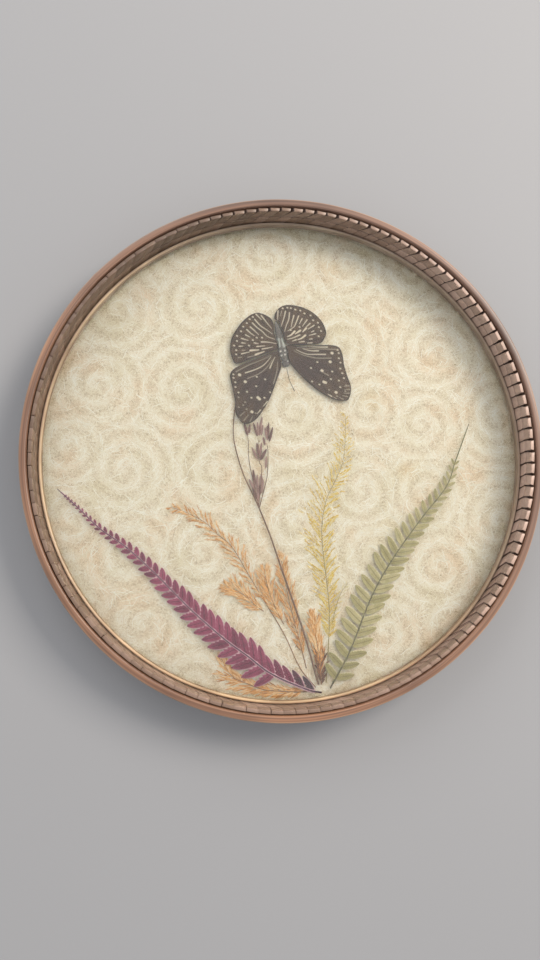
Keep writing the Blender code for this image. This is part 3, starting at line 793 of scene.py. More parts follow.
wingSettings = {
    "cell": 0.27,
    "thickness": 0.14,
    "relief": 0.05,
    "streakHalf": 0.34,        # at a streak's outer end; it narrows towards the wing's root
    "thickHalf": 0.58,
    "narrowing": 0.6,
    "dotHalf": 0.42,
    "dotRun": (0.6, 0.3),      # a dot is a very short streak, in pixels
    "spotHalf": 0.80,
    "soft": 0.22,
    "faint": 0.4,              # how pale the faint streaks and dots are
    "faintDot": 0.45,
    "veins": 34,               # in a full turn round the root, and how far they bend
    "veinBend": 0.06,
    "marginReach": 2.2,
    "discFull": 1.4,
}
wings = {
    "left_hindwing": {
        "root": (276.5, 344.0),
        "outline": [
            (273.4, 323.5), (268.1, 316.8), (256.1, 313.2), (243.7, 320.6), (232.7, 335.9),
            (230.0, 348.4), (232.2, 358.9), (237.5, 363.9), (256.1, 357.0), (276.8, 349.3),
            (277.4, 343.6), (274.0, 332.1)],
        "streaks": [
            [(255.9, 314.4), (261.2, 319.9)],
            [(261.2, 315.8), (265.6, 321.5), (271.3, 328.5)],
            [(254.6, 319.7), (260.3, 325.9), (265.6, 329.4), (272.2, 334.2)],
            [(252.4, 323.2), (256.8, 327.6), (262.5, 332.0), (266.9, 336.5), (274.4, 339.5)],
            [(250.2, 327.2), (254.2, 330.7), (258.6, 335.1)],
            [(246.7, 329.8), (250.6, 333.4), (254.2, 336.0)],
            [(245.4, 335.1), (249.8, 337.3)], [(241.4, 338.7), (248.0, 340.6)],
            [(241.8, 343.1), (245.4, 343.5)], [(239.2, 346.6), (242.7, 346.4)],
            [(254.2, 343.1), (258.1, 343.9)], [(261.2, 342.2), (267.8, 342.4), (276.2, 343.9)],
            [(256.8, 346.8), (264.7, 346.1)], [(262.1, 349.2), (267.8, 348.3), (272.7, 347.2)],
            [(241.4, 354.1), (249.3, 352.3)]],
        "faintStreaks": [
            [(238.3, 357.8), (241.8, 357.4)], [(242.3, 350.5), (245.4, 350.5)],
            [(247.6, 357.6), (254.6, 355.8)]],
        "thickStreaks": [[(250.2, 350.8), (258.6, 350.1)], [(255.5, 354.9), (263.9, 351.9)]],
        "dots": [
            (252.4, 317.1), (249.3, 319.3), (246.5, 323.2), (242.9, 326.8), (240.7, 331.4),
            (236.7, 336.0), (236.6, 341.1), (233.8, 345.7), (235.9, 350.3), (235.9, 354.5),
            (248.7, 345.7), (252.4, 340.2), (261.7, 337.8), (256.4, 337.8)],
    },
    "right_hindwing": {
        "root": (281.0, 345.0),
        "outline": [
            (274.2, 319.0), (276.2, 311.5), (283.9, 305.8), (297.3, 306.3), (310.7, 311.5),
            (321.2, 321.1), (326.0, 332.1), (324.1, 338.8), (319.8, 343.4), (304.9, 345.0),
            (287.2, 344.2), (282.4, 332.1), (278.4, 322.4)],
        "streaks": [
            [(277.9, 311.1), (277.5, 319.8)],
            [(285.4, 311.5), (283.6, 319.0), (280.3, 328.5)],
            [(289.4, 313.0), (288.6, 319.8), (286.2, 325.7), (284.6, 331.6)],
            [(293.7, 315.8), (292.3, 321.4), (291.0, 327.3)],
            [(298.5, 316.2), (295.7, 323.7), (293.7, 327.3), (287.8, 331.2)],
            [(302.0, 319.0), (299.3, 324.1)], [(306.8, 320.2), (302.4, 326.5)],
            [(309.9, 323.7), (305.6, 327.7)], [(313.9, 325.7), (308.0, 329.3)],
            [(299.7, 335.2), (292.1, 338.4), (287.4, 339.5)], [(296.1, 339.9), (292.1, 341.5)],
            [(304.0, 341.7), (298.9, 342.3)], [(315.5, 334.0), (309.1, 335.6)],
            [(311.9, 339.1), (309.1, 339.5)], [(311.9, 343.1), (307.6, 343.3)],
            [(313.5, 331.2), (311.1, 332.4)]],
        "faintStreaks": [[(281.5, 311.5), (280.3, 316.6)]],
        "thickStreaks": [
            [(306.0, 328.5), (302.8, 332.0)], [(300.1, 330.8), (295.3, 334.0)],
            [(294.5, 331.6), (291.0, 335.2), (287.4, 336.8)],
            [(305.2, 335.6), (301.6, 338.4), (297.7, 339.9)]],
        "dots": [
            (282.3, 308.5), (287.0, 307.9), (290.4, 308.3), (294.9, 309.7), (299.9, 310.7),
            (304.0, 313.6), (310.1, 315.6), (312.7, 320.4), (317.4, 322.9), (318.4, 327.3),
            (320.6, 331.2), (318.2, 336.4), (299.1, 327.1), (290.2, 330.1)],
    },
    "right_forewing": {
        "root": (285.5, 350.0),
        "outline": [
            (286.6, 345.6), (304.0, 346.9), (320.2, 345.2), (336.5, 346.4), (341.8, 353.1),
            (344.2, 366.5), (347.5, 377.1), (350.8, 387.6), (349.4, 397.1), (345.6, 401.0),
            (333.6, 399.5), (316.4, 389.5), (299.2, 374.2), (289.0, 361.3), (287.6, 352.2)],
        "streaks": [
            [(318.3, 351.1), (310.3, 350.9), (302.8, 349.0)],
            [(325.4, 354.6), (316.0, 354.6), (308.4, 354.6), (301.8, 352.7), (296.2, 349.9)],
            [(327.3, 347.3), (317.9, 347.3), (308.4, 346.6)], [(331.6, 396.6), (327.8, 394.3)]],
        "faintStreaks": [
            [(338.0, 349.8), (325.0, 349.3), (312.0, 348.8), (297.0, 347.6)],
            [(331.0, 358.4), (316.0, 358.2), (303.0, 355.2), (294.0, 351.0)],
            [(349.0, 386.0), (344.0, 386.6)], [(349.6, 389.6), (344.4, 390.0)],
            [(349.2, 393.4), (343.8, 393.4)], [(347.4, 396.8), (342.4, 395.8)],
            [(343.0, 399.4), (339.0, 397.4)], [(336.2, 398.8), (333.2, 397.0)],
            [(328.4, 375.6), (320.0, 371.0)]],
        "dots": [
            (337.0, 350.1), (338.2, 353.2), (338.4, 358.4), (340.0, 362.7), (339.8, 368.6),
            (341.9, 373.3), (343.4, 378.2), (338.4, 380.6), (316.9, 362.2), (310.6, 368.1),
            (331.8, 371.6), (330.4, 379.2), (311.7, 381.5), (319.0, 384.6), (339.8, 387.2)],
        "faintDots": [(328.7, 390.0), (345.7, 385.3), (344.8, 391.4), (336.7, 396.2)],
        "spots": [(331.6, 353.2), (329.7, 361.9), (321.6, 370.7), (323.5, 382.0), (325.0, 382.6),
                  (335.6, 392.4)],
        "disc": ((312.0, 367.0), 20.0),
    },
    "left_forewing": {
        "root": (277.5, 352.0),
        "outline": [
            (277.4, 351.2), (262.8, 356.0), (246.6, 362.6), (234.1, 368.9), (230.1, 376.1),
            (232.7, 389.5), (235.1, 402.9), (235.6, 413.4), (241.8, 422.5), (249.4, 423.5),
            (258.1, 417.2), (268.6, 401.0), (276.2, 381.8), (281.2, 365.6), (279.4, 357.0)],
        "streaks": [
            [(245.4, 373.1), (254.9, 369.9), (262.8, 365.9), (267.8, 360.9), (270.8, 357.0)],
            [(269.8, 368.4), (272.3, 362.4), (274.8, 357.5)],
            [(267.3, 401.7), (263.3, 406.2)], [(260.3, 410.2), (257.4, 413.7)]],
        "faintStreaks": [
            [(236.0, 372.0), (248.0, 365.6), (262.0, 360.0), (271.0, 355.4)],
            [(247.6, 378.6), (258.0, 374.4), (266.4, 368.0), (272.0, 360.0)],
            [(273.4, 384.0), (276.6, 372.0), (277.4, 362.0)], [(240.0, 416.0), (244.6, 412.0)],
            [(244.0, 420.4), (248.4, 415.0)], [(250.0, 421.4), (252.4, 416.8)]],
        "dots": [
            (233.0, 374.4), (233.2, 377.9), (235.0, 382.3), (235.2, 387.1), (238.2, 392.5),
            (256.4, 376.9), (264.8, 379.4), (255.9, 386.3), (246.7, 391.8), (251.1, 397.8),
            (264.1, 397.8), (269.8, 392.3)],
        "faintDots": [
            (238.2, 397.3), (244.9, 402.2), (242.9, 405.2), (238.4, 407.2), (246.2, 409.2),
            (238.9, 419.2), (255.4, 413.2)],
        "spots": [(239.2, 374.9), (244.9, 381.8), (257.6, 397.6), (259.0, 399.0), (251.6, 411.9)],
        "disc": ((258.0, 385.0), 20.0),
    },
}


def insideLoop(points, loop):
    # for each point, whether it lies inside the closed line
    inside = np.zeros(len(points), bool)
    for one, two in zip(loop, np.roll(loop, -1, axis=0)):
        crosses = (one[1] > points[:, 1]) != (two[1] > points[:, 1])
        run = two[1] - one[1] if two[1] != one[1] else 1e-12
        inside ^= crosses & (points[:, 0] < (two[0] - one[0]) * (points[:, 1] - one[1]) / run + one[0])
    return inside


def nearestOnRun(points, one, two):
    # each point's nearest place on a short straight run, and how far it is
    run = two - one
    share = np.clip(((points - one) @ run) / max(run @ run, 1e-18), 0, 1)
    place = one + share[:, None] * run
    return place, np.linalg.norm(points - place, axis=1)


def nearestOnLine(points, line):
    best = np.full(len(points), 1e9)
    where = np.zeros_like(points)
    for one, two in zip(line, line[1:]):
        place, away = nearestOnRun(points, one, two)
        closer = away < best
        best[closer] = away[closer]
        where[closer] = place[closer]
    return where, best


def asArray(points):
    return np.array([(point.x, point.y) for point in points])


def makeWing(node, marks, material):
    # a grid cut to the wing's outline; the marks are painted on it as attributes
    height = midHeight(node)
    loop = asArray(smoothLine([seenAt(*place, height) for place in marks["outline"]], 8, closed=True))
    low, high = loop.min(0), loop.max(0)
    cell = wingSettings["cell"] * mm
    size = high - low + 2 * cell
    counts = [max(2, int(extent / cell)) for extent in size]
    bm = bmesh.new()
    centre = (low + high) / 2
    bmesh.ops.create_grid(bm, x_segments=counts[0], y_segments=counts[1], size=0.5, matrix=(
        Matrix.Translation((centre[0], centre[1], height))
        @ Matrix.Diagonal((size[0], size[1], 1.0, 1.0))))
    middles = np.array([face.calc_center_median().xy for face in bm.faces])
    keep = insideLoop(middles, loop)
    bmesh.ops.delete(bm, geom=[face for face, kept in zip(bm.faces[:], keep) if not kept],
                     context="FACES")
    edge = [vert for vert in bm.verts if vert.is_boundary]
    snapped, _ = nearestOnLine(np.array([vert.co.xy for vert in edge]), np.vstack([loop, loop[:1]]))
    for vert, place in zip(edge, snapped):
        vert.co.x, vert.co.y = place

    points = np.array([vert.co.xy for vert in bm.verts])
    soft = wingSettings["soft"]
    pale = np.zeros(len(points))

    def mark(line, half, level=1.0, narrowing=0.0):
        # paints pale round the line, narrower run by run towards its end
        for index, (one, two) in enumerate(zip(line, line[1:])):
            away = nearestOnRun(points, one, two)[1] / mm
            width = half * (1.0 - narrowing * index / (len(line) - 1))
            pale[:] = np.maximum(pale, level * np.clip((width + soft - away) / (2 * soft), 0, 1))

    for key, half, level in (("streaks", "streakHalf", 1.0), ("thickStreaks", "thickHalf", 1.0),
                             ("faintStreaks", "streakHalf", wingSettings["faint"])):
        for streak in marks.get(key, ()):
            line = asArray(smoothLine([seenAt(*place, height) for place in streak], 4))
            mark(line, wingSettings[half], level, wingSettings["narrowing"])
    for key, half, level in (("dots", "dotHalf", 1.0), ("spots", "spotHalf", 1.0),
                             ("faintDots", "dotHalf", wingSettings["faintDot"])):
        for x, y in marks.get(key, ()):
            ends = (x, y), (x + wingSettings["dotRun"][0], y + wingSettings["dotRun"][1])
            mark(asArray([seenAt(*end, height) for end in ends]), wingSettings[half], level)
    margin = nearestOnLine(points, np.vstack([loop, loop[:1]]))[1] / mm
    root = np.array(seenAt(*marks["root"]))
    spread = points - root
    angle = np.arctan2(spread[:, 1], spread[:, 0])
    reach = np.linalg.norm(spread, axis=1) / mm
    vein = 0.5 + 0.5 * np.cos(angle * wingSettings["veins"] + wingSettings["veinBend"] * reach)
    disc = np.zeros(len(points))
    if "disc" in marks:
        place, radius = marks["disc"]
        away = np.linalg.norm(points - np.array(seenAt(*place)), axis=1) / pixel
        disc = np.clip(wingSettings["discFull"] - away / radius, 0, 1)
    margin = np.clip(margin / wingSettings["marginReach"], 0, 1)
    for name, values in (("pale", pale), ("margin", margin), ("vein", vein), ("disc", disc)):
        layer = bm.verts.layers.float.new(name)
        for vert, value in zip(bm.verts, values):
            vert[layer] = float(value)
    for vert, swell in zip(bm.verts, vein):
        vert.co.z += (float(swell) - 0.5) * wingSettings["relief"] * mm
    newPiece(node + "-scaled", bm, material, [node],
             thickness=wingSettings["thickness"] * mm)


def makeWingScales(settings):
    # powdery scales: brown with darker veins and edge, a plum-black disc, cream marks
    material, tree, shader, place = startMaterial("powderyWingScales", {
        "IOR": 1.45, "Roughness": 0.62, "Sheen Weight": 0.25, "Sheen Roughness": 0.4})
    powder = addNode(tree, "TexNoise", {"Scale": 1.0 / (settings["powder"] * mm), "Detail": 3.0,
                                        "Roughness": 0.7}, {"Vector": place})
    patch = addNode(tree, "TexNoise", {"Scale": 1.0 / (settings["patch"] * mm), "Detail": 2.0},
                    {"Vector": place})
    reads = {name: addNode(tree, "Attribute", {"attribute_name": name}).outputs["Fac"]
             for name in ("pale", "margin", "vein", "disc")}
    ground = addNode(tree, "ValToRGB", {"stops": settings["ground"]},
                     {"Fac": patch.outputs["Fac"]})
    last = ground.outputs["Color"]
    for name in ("disc", "vein"):
        strength, colour = settings[name]
        share = addNode(tree, "Math", {"operation": "MULTIPLY", 1: strength}, {0: reads[name]})
        last = addNode(tree, "Mix", {"data_type": "RGBA", 7: hexColour(colour)},
                       {0: share.outputs[0], 6: last}).outputs[2]
    edge = addNode(tree, "MapRange", {"From Min": 0.0, "From Max": 0.45, "To Min": 0.85,
                                      "To Max": 0.0}, {"Value": reads["margin"]})
    last = addNode(tree, "Mix", {"data_type": "RGBA", 7: hexColour(settings["edge"])},
                   {0: edge.outputs[0], 6: last}).outputs[2]
    last = addNode(tree, "Mix", {"data_type": "RGBA", 7: hexColour(settings["pale"])},
                   {0: reads["pale"], 6: last}).outputs[2]
    dust = addNode(tree, "ValToRGB", {"stops": settings["dust"]}, {"Fac": powder.outputs["Fac"]})
    last = addNode(tree, "Mix", {"data_type": "RGBA", "blend_type": "MULTIPLY", 0: 1.0},
                   {6: last, 7: dust.outputs["Color"]}).outputs[2]
    tree.links.new(last, shader.inputs["Base Color"])
    endBump(tree, shader, powder.outputs["Fac"], settings["relief"] * mm)
    return material


wingScales = makeWingScales({
    "powder": 0.5, "patch": 5.0, "relief": 0.03, "edge": "#33271F", "pale": "#F0E6CE",
    "disc": (0.85, "#503C36"), "vein": (0.45, "#38281E"),
    "ground": [(0.3, "#564232"), (0.7, "#6E563E")],
    "dust": [(0.3, "#D4CEC8"), (0.7, "#FFFFFF")]})
for wingName, wingMarks in wings.items():
    makeWing(wingName, wingMarks, wingScales)
print("wings done")

bodySettings = {
    "tail": (275.6, 322.0),
    "head": (286.0, 367.5),
    "halfWidth": 2.85,
    "halfHeight": 1.1,
    "segments": 9,
    "segmentDepth": 0.05,
    "abdomen": (0.62, 0.72),   # the share of the body where it ends, and how wide it is
    "rounds": ((0.66, 0.24, 1.0), (0.92, 0.085, 0.86)),   # thorax and head: middle, half, width
    "fuzz": (9.0, 0.05),       # how close and how deep the fur's unevenness is
    "spotRadius": {"pale": 0.55, "patch": 0.8},
    "patches": [[(278.2, 340.5), (279.0, 347.5)], [(281.8, 340.5), (283.6, 347.5)]],
    "dots": [(280.1, 352.7), (284.5, 351.9), (281.0, 356.7), (284.5, 355.8), (281.2, 362.9),
             (287.6, 362.0)],
    "antenna": [(286.6, 369.2), (289.5, 381.0), (294.4, 391.5)],
    "shaft": (0.28, 0.30),
    "club": (0.34, 0.50),
}


def bodySwell(share):
    # the half width from tail 0 to head 1: ringed abdomen, round thorax, small head
    end, width = bodySettings["abdomen"]
    part = min(share / end, 1.0)
    rings = 1.0 + bodySettings["segmentDepth"] * math.cos(part * math.tau * bodySettings["segments"])
    abdomen = width * math.sin(math.pi * part) ** 0.6 * rings if share < end else 0.0
    rounds = [wide * max(0.0, 1.0 - ((share - middle) / half) ** 2) ** 0.5
              for middle, half, wide in bodySettings["rounds"]]
    return max(abdomen, *rounds, 0.05)


def makeBody(material, antennaMaterial):
    # a sphere drawn out along the body, then the one feeler with its thicker end
    tail, head = seenAt(*bodySettings["tail"]), seenAt(*bodySettings["head"])
    middle, half = (tail + head) / 2, (head - tail).length / 2
    place = placeOn(middle, midHeight("butterfly_body"), (head - tail).normalized())
    bm = bmesh.new()
    bmesh.ops.create_uvsphere(bm, u_segments=28, v_segments=90, radius=1.0)
    fine, depth = bodySettings["fuzz"]
    for vert in bm.verts:
        along = vert.co.z
        ring = max(math.sqrt(max(0.0, 1.0 - along ** 2)), 1e-6)
        swell = bodySwell((along + 1.0) / 2) if abs(along) < 0.9999 else 0.0
        fuzz = 1.0 + depth * noise.noise(vert.co * fine)
        vert.co = (along * half,
                   vert.co.y / ring * swell * bodySettings["halfWidth"] * mm * fuzz,
                   vert.co.x / ring * swell * bodySettings["halfHeight"] * mm * fuzz)
    bmesh.ops.transform(bm, matrix=place, verts=bm.verts)
    lines = {"pale": [[spot, spot] for spot in bodySettings["dots"]],
             "patch": bodySettings["patches"]}
    for name in lines:
        bm.verts.layers.float.new(name)
    points = np.array([vert.co.xy for vert in bm.verts])
    for name, radius in bodySettings["spotRadius"].items():
        layer = bm.verts.layers.float[name]
        away = np.full(len(points), 1e9)
        for ends in lines[name]:
            seen = asArray([seenAt(*end) for end in ends])
            away = np.minimum(away, nearestOnLine(points, seen)[1] / mm)
        for vert, gap in zip(bm.verts, away):
            vert[layer] = max(0.0, min(1.0, (radius - float(gap)) / (radius * 0.4) + 0.5))
    newPiece("butterfly-trunk", bm, material, ["butterfly_body"])

    line = Line(bodySettings["antenna"])
    bm = bmesh.new()
    height = midHeight("antenna")
    layStem(bm, line, height, bodySettings["shaft"], steps=14, squeeze=0.8, span=(0.0, 0.86))
    layStem(bm, line, height, bodySettings["club"], steps=6, squeeze=0.8, span=(0.84, 1.0))
    newPiece("antenna-feeler", bm, antennaMaterial, ["antenna"])


def makeBodyFur(settings):
    # short grey fur over a slate body, with pale tufts
    material, tree, shader, place = startMaterial("slateBodyFur", {
        "IOR": 1.45, "Roughness": 0.7, "Sheen Weight": 0.4})
    fur = addNode(tree, "TexNoise", {"Scale": 1.0 / (settings["hair"] * mm), "Detail": 3.0},
                  {"Vector": place})
    last = addNode(tree, "ValToRGB", {"stops": settings["ground"]},
                   {"Fac": fur.outputs["Fac"]}).outputs["Color"]
    for name in ("patch", "pale"):
        read = addNode(tree, "Attribute", {"attribute_name": name})
        last = addNode(tree, "Mix", {"data_type": "RGBA", 7: hexColour(settings[name])},
                       {0: read.outputs["Fac"], 6: last}).outputs[2]
    tree.links.new(last, shader.inputs["Base Color"])
    endBump(tree, shader, fur.outputs["Fac"], settings["relief"] * mm)
    return material


# the feeler: thin dark horn with a faint gloss
feelerHorn = makeToneMaterial("darkFeelerHorn", {
    "roughness": 0.5, "fleck": 1.0, "fleckShare": 0.5, "relief": 0.01,
    "shades": [(0.0, "#4A3A2E"), (1.0, "#6E5846")]})
slateFur = makeBodyFur({
    "hair": 0.4, "relief": 0.08, "patch": "#B0B2A8", "pale": "#E9E4D8",
    "ground": [(0.3, "#4E4844"), (0.7, "#827A72")]})
makeBody(slateFur, feelerHorn)
print("body done")


# The ferns

leafletBuild = {
    "shapes": 4,
    "grid": (30, 8),
    "shoulder": 0.22,          # the share of its length where a leaflet is at its widest
    "toothFade": 0.4,          # the last part of it, where the teeth grow smaller
    "bends": (0.6, 1.2),       # how much of the fern's hook a leaflet has
    "ribHalf": 0.2,
    "cup": 0.12,
    "arch": 0.3,               # how high a leaflet's middle may stand
    "thickness": 0.12,
    "lengthStray": 0.06,
    "leanStray": 3.0,
    "darkReach": 0.07,         # the share of the fern that darkRoot darkens
    "rim": 0.5,                # how far inside the cover's edge every leaflet ends
    "stalkRise": 0.14,
    "rachisRise": 0.05,
}
fernSettings = {
    "purple_fern": {
        "line": [
            (321.0, 691.5), (305.0, 688.0), (271.0, 673.0), (247.0, 655.0), (225.0, 639.0),
            (193.0, 611.0), (172.0, 590.0), (152.0, 570.0), (126.5, 547.0), (101.0, 529.0),
            (79.0, 508.0), (57.0, 488.0)],
        "count": 38,
        "crowding": 0.32,      # how much closer the leaflets stand at the fern's tip
        "span": (0.03, 0.97),
        "lengths": [(0.0, 17), (0.08, 20), (0.2, 22), (0.35, 18.5), (0.5, 14.5), (0.65, 10.5),
                    (0.75, 8.2), (0.85, 5.4), (0.94, 3.2), (1.0, 2.0)],
        "leans": ([(0.0, 70), (0.3, 62), (1.0, 50)], [(0.0, 48), (1.0, 52)]),   # left and right
        "bareLeft": 0.10,
        "width": 0.235,        # a leaflet's half width as a share of its length
        "widths": [(0.0, 0.86), (0.25, 1.05), (0.5, 1.3), (1.0, 1.45)],   # more for short ones
        "outline": (0.9, 3.2, 0.85),   # its width at the root, and how full and how blunt it is
        "teeth": 5,
        "toothDepth": 0.55,
        "hook": 0.10,
        "darkRoot": 1.6,       # how much darker the lowest leaflets are
        "stem": (1.0, 0.45),
        "rachis": (2.0, 0.9),
    },
    "green_fern": {
        "line": [
            (329.5, 687.5), (349.0, 651.0), (370.0, 598.0), (391.0, 560.0), (420.0, 519.0),
            (445.0, 487.0), (454.0, 462.0), (468.0, 423.0)],
        "count": 25,
        "crowding": 0.16,
        "span": (0.04, 0.87),
        "lengths": [(0.0, 17), (0.15, 21), (0.3, 22), (0.45, 20.5), (0.6, 17), (0.75, 13), (0.88, 10),
                    (1.0, 6)],
        "leans": ([(0.0, 74), (0.5, 68), (1.0, 48)], [(0.0, 56), (0.5, 52), (1.0, 36)]),
        "bareLeft": 0.0,
        "width": 0.21,
        "widths": [(0.0, 1.0), (1.0, 0.95)],
        "outline": (0.7, 3.8, 0.68),
        "teeth": 7,
        "toothDepth": 0.2,
        "hook": 0.08,
        "darkRoot": 0.3,
        "stem": (0.9, 0.4),
        "rachis": (1.5, 0.7),
    },
}


def leafletShape(name, settings, seed):
    # one flat leaflet, a unit long: a grid drawn in to its outline, toothed along one edge
    rng = random.Random(seed)
    bm = bmesh.new()
    along, across = leafletBuild["grid"]
    bmesh.ops.create_grid(bm, x_segments=along, y_segments=across, size=0.5)
    edge = bm.verts.layers.float.new("edge")
    rib = bm.verts.layers.float.new("rib")
    bend = rng.uniform(*leafletBuild["bends"]) * settings["hook"]
    root, fullness, bluntness = settings["outline"]
    for vert in bm.verts:
        along, across = vert.co.x + 0.5, vert.co.y * 2
        half = root + (1.0 - root) * min(1.0, along / leafletBuild["shoulder"])
        half *= max(0.0, 1.0 - along ** fullness) ** bluntness * settings["width"]
        if across < 0:
            tooth = (along * settings["teeth"]) % 1.0
            fade = min(1.0, (1 - along) / leafletBuild["toothFade"])
            half *= 1.0 + settings["toothDepth"] * (tooth - 0.5) * fade
        vert[edge] = abs(across)
        vert[rib] = max(0.0, 1.0 - abs(across) / leafletBuild["ribHalf"])
        rise = leafletBuild["cup"] * (1 - across ** 2) * (1 - along)
        vert.co = (along, across * half - bend * along ** 2, rise)
    return readyShape(name, bm)


def makeFern(node, settings, material, stemMaterial, rachisMaterial):
    # two rows of leaflets, flat on the paper and no wider than the cover, then the stalk
    rng = random.Random(len(node))
    line = Line(settings["line"])
    height = midHeight(node)
    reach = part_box("clear_cover")[1].x - leafletBuild["rim"] * mm
    shapes = [leafletShape("leaflet", settings, seed) for seed in range(leafletBuild["shapes"])]
    lengthStray, leanStray = leafletBuild["lengthStray"], leafletBuild["leanStray"]
    flipped = Matrix.Diagonal((1.0, -1.0, 1.0, 1.0))
    leaves = bmesh.new()
    start, end = settings["span"]
    for sign, leans, bare in ((1, settings["leans"][0], settings["bareLeft"]),
                              (-1, settings["leans"][1], 0.0)):
        for index in range(settings["count"]):
            share = index / settings["count"]
            if share < bare:
                continue
            share *= 1.0 + settings["crowding"] * (1.0 - share ** 2)
            length = pixel * float(np.interp(share, *zip(*settings["lengths"])))
            length *= rng.uniform(1.0 - lengthStray, 1.0 + lengthStray)
            root, direction = line.at(start + (end - start) * share)
            lean = float(np.interp(share, *zip(*leans))) + rng.uniform(-leanStray, leanStray)
            out = turned(direction, sign * lean)
            width = length * float(np.interp(share, *zip(*settings["widths"])))
            matrix = placeOn(root, height, out, length, width, leafletBuild["arch"] * mm)
            if sign < 0:
                matrix = matrix @ flipped
            dark = settings["darkRoot"] * max(0.0, 1.0 - share / leafletBuild["darkReach"])
            stampShape(leaves, rng.choice(shapes), matrix, rng.random() - dark)
    for vert in leaves.verts:
        inside = clampInside(vert.co.xy, reach)
        vert.co.x, vert.co.y = inside
    bmesh.ops.recalc_face_normals(leaves, faces=leaves.faces)
    for face in leaves.faces:
        if face.normal.z < 0:
            face.normal_flip()
    newPiece(node + "-leaflets", leaves, material, [node],
             thickness=leafletBuild["thickness"] * mm, recalc=False)
    stem = bmesh.new()
    layStem(stem, line, height + leafletBuild["stalkRise"] * mm, settings["stem"], steps=70,
            squeeze=0.35, span=(0.0, 0.995))
    newPiece(node + "-stalk", stem, stemMaterial)
    wing = bmesh.new()
    layStem(wing, line, height + leafletBuild["rachisRise"] * mm, settings["rachis"], steps=70,
            squeeze=0.14, span=(0.02, 0.98))
    newPiece(node + "-rachis", wing, rachisMaterial)


def makeLeafMaterial(name, settings):
    # a dried, pressed leaf: paler papery margin, darker rib, blotched between
    material, tree, shader, place = startMaterial(name, {
        "IOR": 1.45, "Roughness": 0.66, "Sheen Weight": 0.15})
    blotch = addNode(tree, "TexNoise", {"Scale": 1.0 / (settings["blotch"] * mm), "Detail": 4.0},
                     {"Vector": place})
    shade = addNode(tree, "Attribute", {"attribute_name": "tone"})
    blend = addNode(tree, "Math", {"operation": "MULTIPLY_ADD", 1: 0.5},
                    {0: shade.outputs["Fac"], 2: blotch.outputs["Fac"]})
    last = addNode(tree, "ValToRGB", {"stops": settings["ground"]},
                   {"Fac": blend.outputs[0]}).outputs["Color"]
    for attribute, low, high, colour in (("edge", *settings["margin"]), ("rib", *settings["rib"])):
        read = addNode(tree, "Attribute", {"attribute_name": attribute})
        share = addNode(tree, "MapRange", {"From Min": low, "From Max": high},
                        {"Value": read.outputs["Fac"]})
        last = addNode(tree, "Mix", {"data_type": "RGBA", 7: hexColour(colour)},
                       {0: share.outputs[0], 6: last}).outputs[2]
    tree.links.new(last, shader.inputs["Base Color"])
    endBump(tree, shader, blotch.outputs["Fac"], settings["relief"] * mm)
    return material


# one fern is dyed plum with pale pink edges, the other has dried to a dull sage green
plumLeaf = makeLeafMaterial("plumDyedLeaf", {
    "blotch": 2.4, "relief": 0.05,
    "ground": [(0.0, "#463034"), (0.3, "#6C243C"), (0.7, "#88304E"), (1.0, "#A24464")],
    "margin": (0.74, 1.0, "#EAC2CC"), "rib": (0.3, 1.0, "#5E2438")})
sageLeaf = makeLeafMaterial("sageDriedLeaf", {
    "blotch": 2.4, "relief": 0.05,
    "ground": [(0.0, "#746C42"), (0.3, "#988E5A"), (0.7, "#B0A470"), (1.0, "#C2B686")],
    "margin": (0.7, 1.0, "#E0D6AC"), "rib": (0.3, 1.0, "#857848")})
# a fern's stalk is a thin dark line, and its rachis shows as a paler strip on both sides of it
stalkFinish = {"roughness": 0.6, "fleck": 1.2, "fleckShare": 0.8, "relief": 0.02}
rachisFinish = {"roughness": 0.7, "fleck": 1.6, "fleckShare": 0.8, "relief": 0.02}
fernFinishes = {
    "purple_fern": (
        plumLeaf,
        makeToneMaterial("plumDyedStalk", {
            **stalkFinish, "shades": [(0.2, "#3E2230"), (0.8, "#6A3A50")]}),
        makeToneMaterial("paleDyedRachis", {
            **rachisFinish, "shades": [(0.2, "#CF9CAC"), (0.7, "#EAC8CE")]})),
    "green_fern": (
        sageLeaf,
        makeToneMaterial("sageDriedStalk", {
            **stalkFinish, "shades": [(0.2, "#5A5036"), (0.8, "#82744C")]}),
        makeToneMaterial("paleDriedRachis", {
            **rachisFinish, "shades": [(0.2, "#9C9C6E"), (0.7, "#C2BF90")]})),
}
for fernName, fern in fernSettings.items():
    makeFern(fernName, fern, *fernFinishes[fernName])
print("ferns done")


# The grasses

def seedShape(name, rounds, rows, taper):
    # a pointed husk or floret, a unit long along X, its root at the origin
    bm = bmesh.new()
    bmesh.ops.create_uvsphere(bm, u_segments=rounds, v_segments=rows, radius=0.5)
    bmesh.ops.transform(bm, matrix=Matrix.Translation((0.5, 0, 0)) @ quarter, verts=bm.verts)
    for vert in bm.verts:
        share = vert.co.x
        vert.co.y *= 1.0 - taper * share
        vert.co.z *= 1.0 - taper * share
    bmesh.ops.recalc_face_normals(bm, faces=bm.faces)
    return readyShape(name, bm)


floretShape = seedShape("floret", 4, 5, 0.45)
huskShape = seedShape("husk", 6, 7, 0.27)

